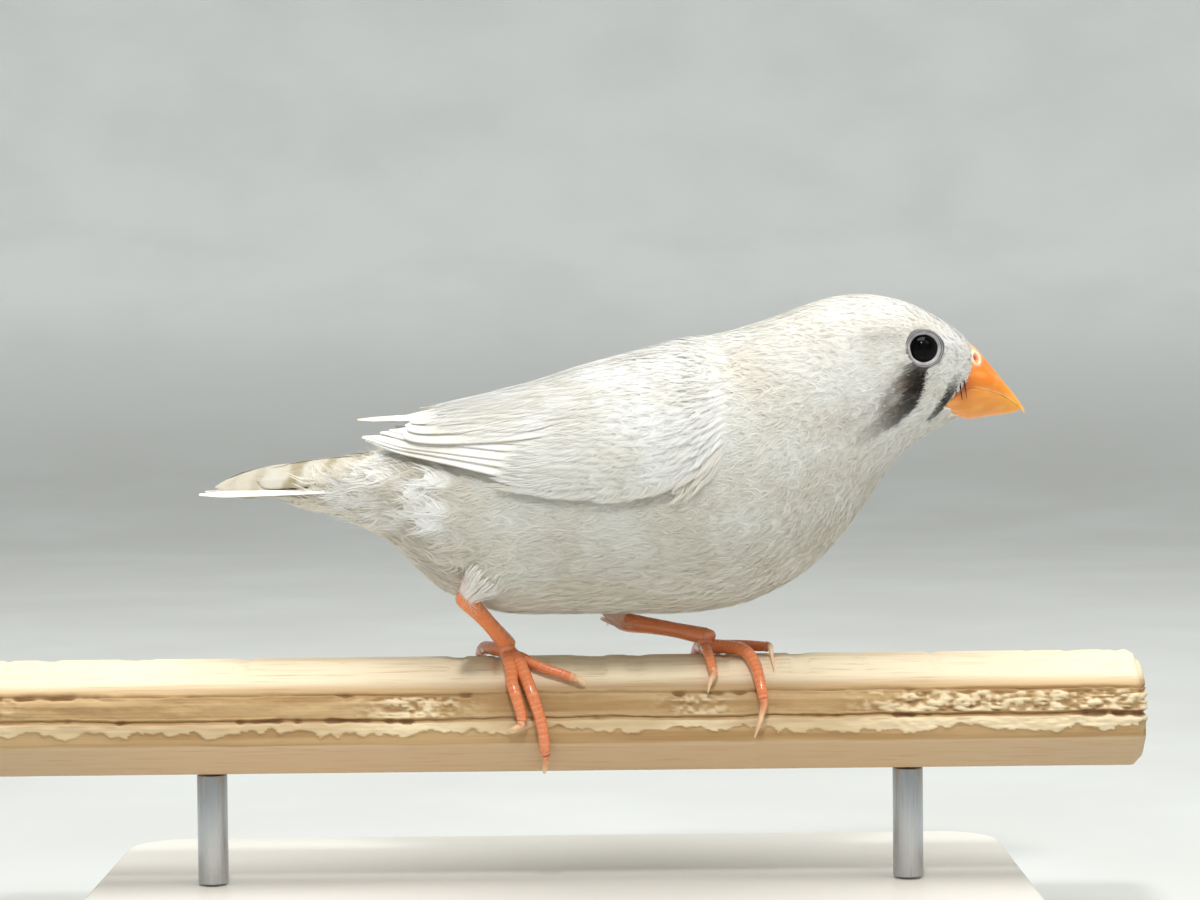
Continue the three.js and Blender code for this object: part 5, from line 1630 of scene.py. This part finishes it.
class Eyes(bpy.types.Operator):
    """The eyes and the beaded lids round them"""

    bl_idname = "finch.eyes"
    bl_label = "Eyes"

    def execute(self, context):
        gloss, lid = stock(wet_dark_eye), stock(lavender_lid_skin)
        for name in SIDES:
            spot, outward = EYES[name]
            turn = Vector(outward).to_track_quat("Z", "Y").to_matrix().to_4x4()
            bm = bmesh.new()
            bmesh.ops.create_uvsphere(bm, u_segments=64, v_segments=40, radius=EYE["radius"])
            for vert in bm.verts:
                # The cornea stands a little proud of the ball
                off = math.hypot(vert.co.x, vert.co.y)
                vert.co.z += 0.18 * math.exp(-((off / 1.5) ** 4)) * (vert.co.z > 0)
            turned = turn.copy()
            turned.translation = Vector(spot - outward * EYE["depth"])
            bmesh.ops.transform(bm, matrix=turned, verts=bm.verts)
            finish_mesh("eyeball_" + name, to_mesh("eyeball", bm), gloss, ("eye_" + name,))
            self.lids(name, turn, spot, lid)
        return {"FINISHED"}

    def lids(self, name, turn, spot, material):
        """A ring of bare skin in two ridges, the outer one beaded, closed behind by its tucked edges."""
        rows = [
            (1.7, -0.8), (1.76, -0.5), (1.84, -0.36), (1.92, -0.34), (2.0, -0.3), (2.12, -0.2), (2.2, -0.2)
        ]
        rows += [
            (2.26, -0.24), (2.34, -0.14), (2.44, -0.07), (2.52, -0.13), (2.58, -0.14), (2.7, -0.06),
            (2.8, -0.14),
        ]
        rows += [(2.95, -0.32), (3.05, -0.6), (2.6, -1.1), (2.0, -1.1)]
        bm = bmesh.new()

        def place(u, v):
            across, height = np.array(rows).T
            t = u * (len(rows) - 1)
            i = np.minimum(t.astype(int), len(rows) - 2)
            f = t - i
            reach, rise = mix(across[i], across[i + 1], f), mix(height[i], height[i + 1], f)
            angle = 2 * math.pi * v
            beads = 0.045 * np.sin(angle * 38) * np.exp(-(((reach - 2.74) / 0.13) ** 2))
            beads += 0.03 * np.sin(angle * 44 + 1) * np.exp(-(((reach - 2.42) / 0.1) ** 2))
            uneven = 1 + 0.02 * np.sin(3 * angle + 1) + 0.012 * np.sin(7 * angle)
            reach = np.where(reach > LID["inner"], mix(LID["inner"], reach, 0.66), reach)
            return stack(reach * uneven * np.cos(angle) * 1.05, reach * uneven * np.sin(angle), rise + beads)

        shaped_sheet(bm, place, len(rows) - 1, 120)
        bmesh.ops.remove_doubles(bm, verts=bm.verts, dist=1e-4)
        rims = [edge for edge in bm.edges if edge.is_boundary]
        bmesh.ops.bridge_loops(bm, edges=rims)
        flat = [(vert.co.x, vert.co.y, vert.co.z) for vert in bm.verts]
        turned = turn.copy()
        turned.translation = Vector(spot)
        bmesh.ops.transform(bm, matrix=turned, verts=bm.verts)
        mesh = to_mesh("lids", bm)
        reach = np.hypot(*np.array(flat)[:, :2].T)
        steps = [1.76, 1.81, 1.87, 1.99, 2.06, 2.16, 2.22, 2.29, 2.37, 2.48]
        shade = np.interp(reach, steps, [0.05, 0.6, 0.95, 1.0, 0.45, 0.8, 0.05, 0.1, 0.5, 0.05])
        shade = shade * (1 + 0.25 * waves(np.array(flat), 0.7, 12))
        keep_values(mesh, "lid_shade", shade)
        piece = finish_mesh("lids_" + name, mesh, material)
        rounder = piece.modifiers.new("rounder ridges", "SUBSURF")
        rounder.levels = rounder.render_levels = 1


# Feet, claws and perch


PERCH = {"length": 153.0, "flat": 7.4, "corner": 7.75, "axis": 29.4, "chamfer": 1.1}


def perch_radius(angle):
    eighth = math.pi / 4
    offset = angle - eighth * np.round(angle / eighth)
    return np.minimum(PERCH["flat"] / np.cos(offset), PERCH["corner"])


def perch_place(x, degrees, lift):
    angle = np.asarray(degrees, float) * DEGREE
    reach = perch_radius(angle) + lift
    return stack(x, -reach * np.sin(angle), PERCH["axis"] + reach * np.cos(angle))


def toe_line(places, lift, count=24):
    """A toe's middle line over the perch through (x, degrees) places."""
    flat = along_line([(x, degrees / 7, 0) for x, degrees in places], np.linspace(0, 1, count))
    return perch_place(flat[:, 0], flat[:, 1] * 7, lift)


def scaled_limb(bm, line, radius, outward, scutes, plate, around=18, pads=0.0):
    """A limb with raised scutes on its outer side and soft pads under it; keeps each vertex's height in the
    scute_height layer.
    """
    line = np.array(line, float)
    along = max(24, scutes * 7)
    heights = []

    def place(u, v):
        centre = along_line(line, u)
        way = unit(along_line(line, u + 0.015) - along_line(line, u - 0.015))
        out = outward(centre)
        across = unit(np.cross(out, way))
        up = unit(np.cross(way, across))
        turn = 2 * math.pi * v
        phase = (u * scutes + 0.18 * np.sin(u * scutes * 1.7 + radius(0.5) * 40)) % 1.0
        on_top = ease((np.sin(turn) + 0.15) / 0.7)
        step = ease(phase / 0.22) * (1 - 0.45 * phase)
        under = ease((-np.sin(turn) - 0.1) / 0.6)
        pad = 0.5 - 0.5 * np.cos(2 * math.pi * (u * scutes / 2.4 % 1.0))
        reach = radius(u) + plate * (step - 0.5) * on_top + pads * pad * under
        reach = reach * (1 - 0.72 * ease((u - 0.955) / 0.045) ** 2) * (1 - 0.3 * ease((0.03 - u) / 0.03))
        heights.append(mix(0.5 + 0.25 * under * pad, step, on_top))
        return centre + (across * np.cos(turn)[:, None] + up * np.sin(turn)[:, None]) * reach[:, None]

    layer = bm.verts.layers.float.get("scute_height")
    made = shaped_sheet(bm, place, along, around)
    for vert, height in zip(made, heights[0]):
        vert[layer] = height
    close_tube(bm, made)


def from_perch(places):
    away = places - np.array([0, 0, PERCH["axis"]])
    return unit(away * (0, 1, 1))


class Feet(bpy.types.Operator):
    """The legs and toes with their scutes, and the claws"""

    bl_idname = "finch.feet"
    bl_label = "Feet"

    def execute(self, context):
        leg, claw = stock(salmon_leg_scute), stock(pale_claw_horn)
        for name, foot in FEET.items():
            bm = bmesh.new()
            bm.verts.layers.float.new("scute_height")
            heel, joint = np.array(foot["heel"], float), np.array(foot["joint"], float)
            back = heel + (heel - joint) * 0.06
            middle = mix(heel, joint, 0.5) + (0, 0, 0.15)
            shank = profile([(0, 1.15), (0.1, 1.28), (0.3, 1.12), (0.6, 1.02), (0.85, 1.12), (1, 1.18)])
            front = unit(np.array([1.0, 0, 0.6]))
            scaled_limb(
                bm, [back, middle, joint + (joint - heel) * 0.02], shank,
                lambda places: np.broadcast_to(front, places.shape), 7, 0.035, 24,
            )
            self.knuckle(bm, joint, 1.14)
            self.knuckle(bm, heel, 1.1)
            for radius, places, _ in foot["toes"].values():
                # Each toe starts within the end of the shank
                line = np.concatenate([[mix(joint, heel, 0.06)], toe_line(places, 0.3 + radius * 1.06)[1:]])
                gone = np.concatenate([[0], np.cumsum(np.linalg.norm(np.diff(line, axis=0), axis=1))])
                length = gone[-1]
                line = stack(*(np.interp(np.linspace(0, length, 26), gone, line[:, k]) for k in range(3)))
                taper = profile(
                    [(0, radius * 1.25), (0.25, radius * 1.1), (0.8, radius * 0.9), (1, radius * 0.84)]
                )
                scaled_limb(bm, line, taper, from_perch, round(length / 0.8), 0.016, 18, 0.06)
            mesh = to_mesh("foot_" + name, bm)
            finish_mesh("foot_" + name, mesh, leg, ("leg_" + name,))
            for toe, (radius, places, end) in foot["toes"].items():
                self.claw(name + "_" + toe, radius, places, end, claw)
        return {"FINISHED"}

    def knuckle(self, bm, centre, radius):
        layer = bm.verts.layers.float.get("scute_height")
        made = bmesh.ops.create_icosphere(bm, subdivisions=4, radius=radius)["verts"]
        places = np.array([vert.co[:] for vert in made])
        bumps = waves(places, 0.9, 9)
        for vert, bump in zip(made, bumps):
            vert.co = vert.co * (1 + 0.05 * bump) * 0.97
            vert[layer] = 0.5 + 0.35 * bump
            vert.co += Vector(centre)

    def claw(self, name, radius, places, end, material):
        """A curved claw that tapers from the toe's end to a point."""
        line = toe_line(places, 0.3 + radius * 1.06)
        way = unit(line[-1] - line[-2])
        last = places[-1]
        middle = perch_place(mix(last[0], end[0], 0.5), mix(last[1], end[1], 0.55), 1.35)
        tip = perch_place(end[0], end[1], 0.42)
        path = [line[-1] - way * 0.25, line[-1] + way * 0.35, middle, tip]
        taper = profile([(0, 0.66), (0.3, 0.56), (0.7, 0.34), (1, 0.08)])

        def place(u, v):
            centre = along_line(path, u)
            along = unit(along_line(path, u + 0.02) - along_line(path, u - 0.02))
            across = unit(np.cross(from_perch(centre), along))
            up = unit(np.cross(along, across))
            turn = 2 * math.pi * v
            ridge_up = 1 + 0.12 * np.maximum(np.sin(turn), 0) ** 3
            reach = (taper(u) * ridge_up)[:, None]
            return centre + (across * 0.85 * np.cos(turn)[:, None] + up * np.sin(turn)[:, None]) * reach

        bm = bmesh.new()
        shaped_tube(bm, place, 24, 20)
        mesh = to_mesh("nail_" + name, bm)
        share = np.linalg.norm(mesh_places(mesh) - line[-1], axis=1) / np.linalg.norm(tip - line[-1])
        keep_values(mesh, "claw_share", share)
        finish_mesh("nail_" + name, mesh, material, ("claw_" + name,))


# The dowel's two sawn grooves: height over its axis and half width
GROOVES = [(3.55, 0.16), (0.25, 0.19)]


def weathering(places):
    """How far the dowel's surface is sunk at places, and how dark, torn and low each place is; the dark is
    partly grain and partly painted shade in the grooves, in the crevices and under the broken lip.
    """
    x, y, z = places.T
    h = z - PERCH["axis"]
    front = ease((-y - 3.0) / 1.5)

    def rough(across, up, seed):
        return grain(stack(x / across, 0 * x, h / up), 1.0, seed)

    def along(length, seed):
        return grain(stack(x / length, 0 * x, 0 * x), 1.0, seed)

    fibre = 0.5 * rough(9, 0.45, 1) + 0.3 * rough(4, 0.25, 2)
    sunk = 0.04 * fibre
    dark = 0.2 * ease(fibre - 0.1)
    torn = np.zeros(len(x))
    # The sawn grooves: thin lines that widen where splinters have come away
    wander = 0.16 * along(7, 5) + 0.06 * along(1.4, 6)
    for n, (level, width) in enumerate(GROOVES):
        bite = ease(1.6 * along(4, 30 + n) + 0.7 * along(1.3, 40 + n) - 0.5)
        wide = width * (1 + 0.5 * along(2.5, 50 + n) + 0.2 * along(0.6, 60 + n) + 1.1 * bite)
        off = (h - level - wander + 0.14 * bite) / wide
        cut = np.exp(-(np.abs(off) ** 3)) * (0.6 + 0.4 * bite) * front
        sunk = sunk + 0.55 * cut
        # Painted shade, darker where the groove is cut deeper
        dark = dark + (0.6 + 0.25 * bite) * ease(cut * 1.4)
    # Crumbled stretches between and below them, smoother wood elsewhere
    crumbled = np.clip(0.3 + 0.9 * along(17, 13) + 0.3 * along(4, 14), 0.12, 1)
    flakes = 0.6 * np.abs(rough(2.4, 0.8, 15)) + 0.5 * np.abs(rough(1.0, 0.5, 16))
    flakes = flakes + 0.3 * rough(0.5, 0.35, 17)
    band = ease((h - GROOVES[1][0] - wander - 0.25) / 0.2)
    band = band * ease((GROOVES[0][0] + wander - 0.2 - h) / 0.2) * front
    sunk = sunk + band * (0.2 + 0.15 * rough(3.5, 1.2, 18) + crumbled * (0.3 - 0.8 * flakes))
    torn = torn + band * (0.1 + 0.75 * crumbled * ease(1.8 * flakes - 0.2))
    # Painted shade in the crevices between the flakes
    dark = dark + 0.45 * band * crumbled * ease(0.9 - 2.4 * flakes)
    # The splintered lip below the lower groove, broken off along an uneven edge
    edge = -1.55 + 0.5 * along(3.4, 19) + 0.4 * along(1.1, 20) + 0.2 * along(0.5, 21)
    lip = ease((GROOVES[1][0] + wander - 0.25 - h) / 0.2) * ease((h - edge) / 0.14) * front
    sunk = sunk - lip * (0.16 + 0.1 * rough(2.0, 0.6, 22) + 0.3 * crumbled * (flakes - 0.3))
    torn = torn + lip * (0.45 + 0.4 * crumbled)
    below = ease((edge - h) / 0.1) * ease((h + 3.1) / 1.0) * front
    sunk = sunk + 0.1 * below
    # Painted shadow under the lip's broken edge, fading downwards
    dark = dark + 0.3 * below * ease((h + 3.1 - 0.8 * (edge - h)) / 2.4) * np.exp(edge - h) * 0.5
    # Nibbles along the top
    nibble = ease(1.6 * along(2.6, 23) + 0.8 * along(1.0, 24) - 0.4) * np.exp(-(((h - 6.6) / 1.1) ** 2))
    sunk = sunk + 0.32 * nibble
    torn = torn + 0.4 * nibble
    low = ease((-3.0 - h + 0.1 * along(6, 25)) / 0.14)
    return sunk, stack(np.clip(dark, 0, 1), np.clip(torn, 0, 1), low)


class Perch(bpy.types.Operator):
    """The cut length of dowel, grooved, gnawed and splintered"""

    bl_idname = "finch.perch"
    bl_label = "Perch"

    def execute(self, context):
        half = PERCH["length"] / 2

        def place(u, v):
            x = mix(-half, half, u)
            # Twice as fine on the side that is worn as behind
            turn = 2 * math.pi * v - 0.5 * np.sin(2 * math.pi * (v - 0.25))
            reach = perch_radius(turn)
            end = np.minimum(x + half, half - x)
            shrink = 1 - PERCH["chamfer"] / PERCH["flat"] * (1 - np.clip(end / PERCH["chamfer"], 0, 1))
            return stack(x, -reach * shrink * np.sin(turn), reach * shrink * np.cos(turn))

        bm = bmesh.new()
        shaped_tube(bm, place, 440, 216)
        bmesh.ops.translate(bm, vec=(0, 0, PERCH["axis"]), verts=bm.verts)
        mesh = to_mesh("perch", bm)
        places, outward = mesh_places(mesh).astype(float), mesh_normals(mesh)
        sunk, wear_and_shade = weathering(places)
        inner = np.hypot(places[:, 1], places[:, 2] - PERCH["axis"]) < 0.8 * PERCH["flat"]
        sunk = np.where(inner, 0.12 * grain(places, 0.6, 4), np.clip(sunk, -0.4, 1.0))
        set_places(mesh, places - outward * sunk[:, None])
        paint(mesh, wear_and_shade, "wood_wear_and_shade")
        finish_mesh("dowel", mesh, stock(worn_pine_dowel), ("perch",))
        return {"FINISHED"}


class Stand(bpy.types.Operator):
    """The stand's base board and its two rods"""

    bl_idname = "finch.stand"
    bl_label = "Stand"

    def execute(self, context):
        low, high = (np.array(corner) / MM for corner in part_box("stand_base"))
        bm = bmesh.new()
        bmesh.ops.create_cube(bm, size=1)
        bmesh.ops.scale(bm, vec=high - low, verts=bm.verts)
        bmesh.ops.translate(bm, vec=(low + high) / 2, verts=bm.verts)
        upright = [e for e in bm.edges if abs(e.verts[0].co.z - e.verts[1].co.z) > 1]
        bmesh.ops.bevel(bm, geom=upright, offset=8, segments=12, profile=0.5, affect="EDGES", material=-1)
        level = [e for e in bm.edges if abs(e.verts[0].co.z - e.verts[1].co.z) < 0.01]
        level = [e for e in level if len(e.link_faces) == 2]
        rim = [e for e in level if abs(e.calc_face_angle()) > 0.5]
        bmesh.ops.bevel(bm, geom=rim, offset=0.8, segments=4, profile=0.5, affect="EDGES", material=-1)
        lacquer = stock(satin_lacquered_board)
        finish_mesh("base_board", to_mesh("base_board", bm), lacquer, ("stand_base",), False)
        steel = stock(drawn_steel_rod)
        for name in ("stand_rod_1", "stand_rod_2"):
            low, high = (np.array(corner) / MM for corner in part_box(name))
            bm = bmesh.new()
            radius = (high[0] - low[0]) / 2
            bmesh.ops.create_cone(
                bm, segments=48, radius1=radius, radius2=radius, depth=high[2] - low[2], cap_ends=True
            )
            bmesh.ops.translate(bm, vec=(low + high) / 2, verts=bm.verts)
            caps = [e for e in bm.edges if abs(e.verts[0].co.z - e.verts[1].co.z) < 0.01]
            bmesh.ops.bevel(bm, geom=caps, offset=0.15, segments=2, profile=0.5, affect="EDGES", material=-1)
            piece = finish_mesh(name.replace("stand_", ""), to_mesh(name, bm), steel, (name,))
            piece.data.set_sharp_from_angle(angle=40 * DEGREE)
        return {"FINISHED"}


class Stage(bpy.types.Operator):
    """The floor that curves up to a pale wall all round, the lights and the camera"""

    bl_idname = "finch.stage"
    bl_label = "Stage"

    def execute(self, context):
        look = context.scene.finch_stage
        bm = bmesh.new()
        rows = [(0.02, 0), (400, 0), (750, 0), (950, 15), (1120, 60), (1260, 140), (1370, 260), (1450, 420)]
        rows += [(1500, 640), (1520, 1000), (1525, 1700)]
        line = [bm.verts.new((reach, 0, height)) for reach, height in rows]
        edges = [bm.edges.new(pair) for pair in zip(line, line[1:])]
        bmesh.ops.spin(
            bm,
            geom=line + edges,
            cent=(0, 0, 0),
            axis=(0, 0, 1),
            angle=2 * math.pi,
            steps=96,
            use_merge=True,
        )
        bmesh.ops.remove_doubles(bm, verts=bm.verts, dist=0.05)
        mesh = to_mesh("studio", bm)
        studio = bpy.data.objects.new("studio", mesh)
        context.scene.collection.objects.link(studio)
        mesh.materials.append(stock(pale_studio_paper))
        mesh.polygons.foreach_set("use_smooth", [True] * len(mesh.polygons))
        self.light("overhead softbox", (0.0, -0.06, 0.9), (0.6, 0.6), look.key_power, look.key_colour)
        self.light("front fill", (0.5, -0.42, 0.7), (0.4, 0.4), look.fill_power, look.fill_colour)
        self.light("catch light", (-0.01, -0.36, 0.5), (0.06, 0.06), look.catch_power, (1, 1, 1))
        world = bpy.data.worlds.new("soft surround")
        world.use_nodes = True
        world.node_tree.nodes["Background"].inputs["Color"].default_value = rgba("#E9ECEA")
        world.node_tree.nodes["Background"].inputs["Strength"].default_value = look.surround
        context.scene.world = world
        context.scene.view_settings.view_transform = "Standard"
        self.camera(context, look)
        return {"FINISHED"}

    def light(self, name, place, size, power_w, colour):
        data = bpy.data.lights.new(name, "AREA")
        data.shape = "RECTANGLE"
        data.size, data.size_y = size
        data.energy = power_w
        data.color = colour
        lamp = bpy.data.objects.new(name, data)
        lamp.location = place
        lamp.rotation_mode = "QUATERNION"
        lamp.rotation_quaternion = (Vector((0.01, 0, 0.06)) - Vector(place)).to_track_quat("-Z", "Y")
        bpy.context.scene.collection.objects.link(lamp)

    def camera(self, context, look):
        """A long lens at the bird's side, a little above its level."""
        data = bpy.data.cameras.new("camera")
        data.sensor_width = 36.0
        data.lens = look.lens
        data.clip_start = 0.01
        data.clip_end = 20.0
        camera = bpy.data.objects.new("camera", data)
        target = Vector(look.target)
        back = Vector((0, -math.cos(look.elevation), math.sin(look.elevation)))
        camera.location = target + back * look.distance
        camera.rotation_mode = "QUATERNION"
        camera.rotation_quaternion = (-back).to_track_quat("-Z", "Y") @ Quaternion((0, 0, 1), -look.roll)
        context.scene.collection.objects.link(camera)
        context.scene.camera = camera


def colour_property(name, description, colour):
    """A colour that the user can set, its default given as sRGB hex."""
    return FloatVectorProperty(
        name=name, description=description, default=tuple(linear(colour)), subtype="COLOR", min=0, max=1
    )


class FinchColours(bpy.types.PropertyGroup):
    """Colours of the plumage, the horn and the stand"""

    white: colour_property("White", "The plumage", "#FAF9F6")
    cream: colour_property("Cream", "Its warm wash, low down and behind", "#F3EAD9")
    tear: colour_property("Tear", "The mark under the eye", "#26201B")
    tear_edge: colour_property("Tear's edge", "Where the mark fades into the cheek", "#857565")
    tail_bar: colour_property("Tail bars", "The bars across the tail's roof", "#A1977A")
    # The long feathers' rims: partly their creamy edges, partly painted shade along their overlaps
    edge_tint_and_shade: colour_property("Feather edges", "The rims of the long feathers", "#D2CCC4")
    bill: colour_property("Bill", "The upper half at its root", "#F18118")
    bill_lower: colour_property("Lower bill", "The lower half at its root", "#EA9434")
    leg_plate: colour_property("Leg plates", "The plates of legs and toes", "#E28451")
    # Between the plates: partly redder skin, partly painted shade
    leg_groove_and_shade: colour_property("Leg grooves", "Between the plates", "#D57145")
    claw: colour_property("Claws", "Towards their points", "#EFC79C")
    lid: colour_property("Lids", "The beads of the lids", "#CCC9CC")
    wood: colour_property("Wood", "The dowel's early growth", "#C0A175")
    wood_growth: colour_property("Growth lines", "The dowel's late growth", "#A98659")
    board: colour_property("Board", "The lacquer of the base", "#EAE7E0")


class PlumageSettings(bpy.types.PropertyGroup):
    """Sizes of the skin and the coat"""

    seed: IntProperty(name="Seed", description="Start of every random draw", default=7, min=0)
    skin_grain: FloatProperty(
        name="Skin grain", description="Mesh size of the skin, mm", default=0.5, min=0.2
    )
    density: FloatProperty(
        name="Density", description="How close the coat's feathers stand", default=1.0, min=0.2
    )
    tries: IntProperty(name="Tries", description="Places tried for the coat's roots", default=90000, min=1000)


class StageSettings(bpy.types.PropertyGroup):
    """The lights and the camera"""

    key_power: FloatProperty(name="Softbox", description="Power of the overhead softbox, W", default=8.0)
    key_colour: FloatVectorProperty(
        name="Softbox colour", description="Its colour", default=(1, 0.99, 0.97), subtype="COLOR"
    )
    fill_power: FloatProperty(name="Fill", description="Power of the front fill, W", default=1.0)
    fill_colour: FloatVectorProperty(
        name="Fill colour", description="Its colour", default=(1, 0.99, 0.96), subtype="COLOR"
    )
    catch_power: FloatProperty(
        name="Catch light", description="Power of the eye's small light, W", default=1.5
    )
    surround: FloatProperty(name="Surround", description="Strength of the light from all round", default=0.32)
    lens: FloatProperty(name="Lens", description="Focal length, mm", default=90.0)
    distance: FloatProperty(
        name="Distance", description="From the camera to its target", default=0.3951, unit="LENGTH"
    )
    elevation: FloatProperty(
        name="Elevation", description="Above the level", default=2.3 * DEGREE, subtype="ANGLE"
    )
    roll: FloatProperty(name="Roll", description="Of the picture", default=0.6 * DEGREE, subtype="ANGLE")
    target: FloatVectorProperty(
        name="Target", description="What the camera looks at", default=(0.005755, 0, 0.06408), subtype="XYZ"
    )


SETTINGS = {"finch_colours": FinchColours, "finch_plumage": PlumageSettings, "finch_stage": StageSettings}
OPERATORS = (Stage, Skin, Coat, Wings, Tail, Bill, Eyes, Feet, Perch, Stand)


class FinchPanel(bpy.types.Panel):
    """Lists the settings and the pieces of the finch"""

    bl_idname = "FINCH_PT_panel"
    bl_label = "Zebra finch"
    bl_space_type = "VIEW_3D"
    bl_region_type = "UI"
    bl_category = "Finch"

    def draw(self, context):
        for group, cls in SETTINGS.items():
            settings = getattr(context.scene, group)
            for name in cls.__annotations__:
                self.layout.prop(settings, name)
        for operator in OPERATORS:
            self.layout.operator(operator.bl_idname)


CLASSES = (*SETTINGS.values(), *OPERATORS, FinchPanel)


def register():
    for cls in CLASSES:
        bpy.utils.register_class(cls)
    for group, cls in SETTINGS.items():
        setattr(bpy.types.Scene, group, PointerProperty(type=cls))


def unregister():
    for group in SETTINGS:
        delattr(bpy.types.Scene, group)
    for cls in reversed(CLASSES):
        bpy.utils.unregister_class(cls)


def main():
    register()
    for operator in OPERATORS:
        group, name = operator.bl_idname.split(".")
        getattr(getattr(bpy.ops, group), name)()


if __name__ == "__main__":
    main()
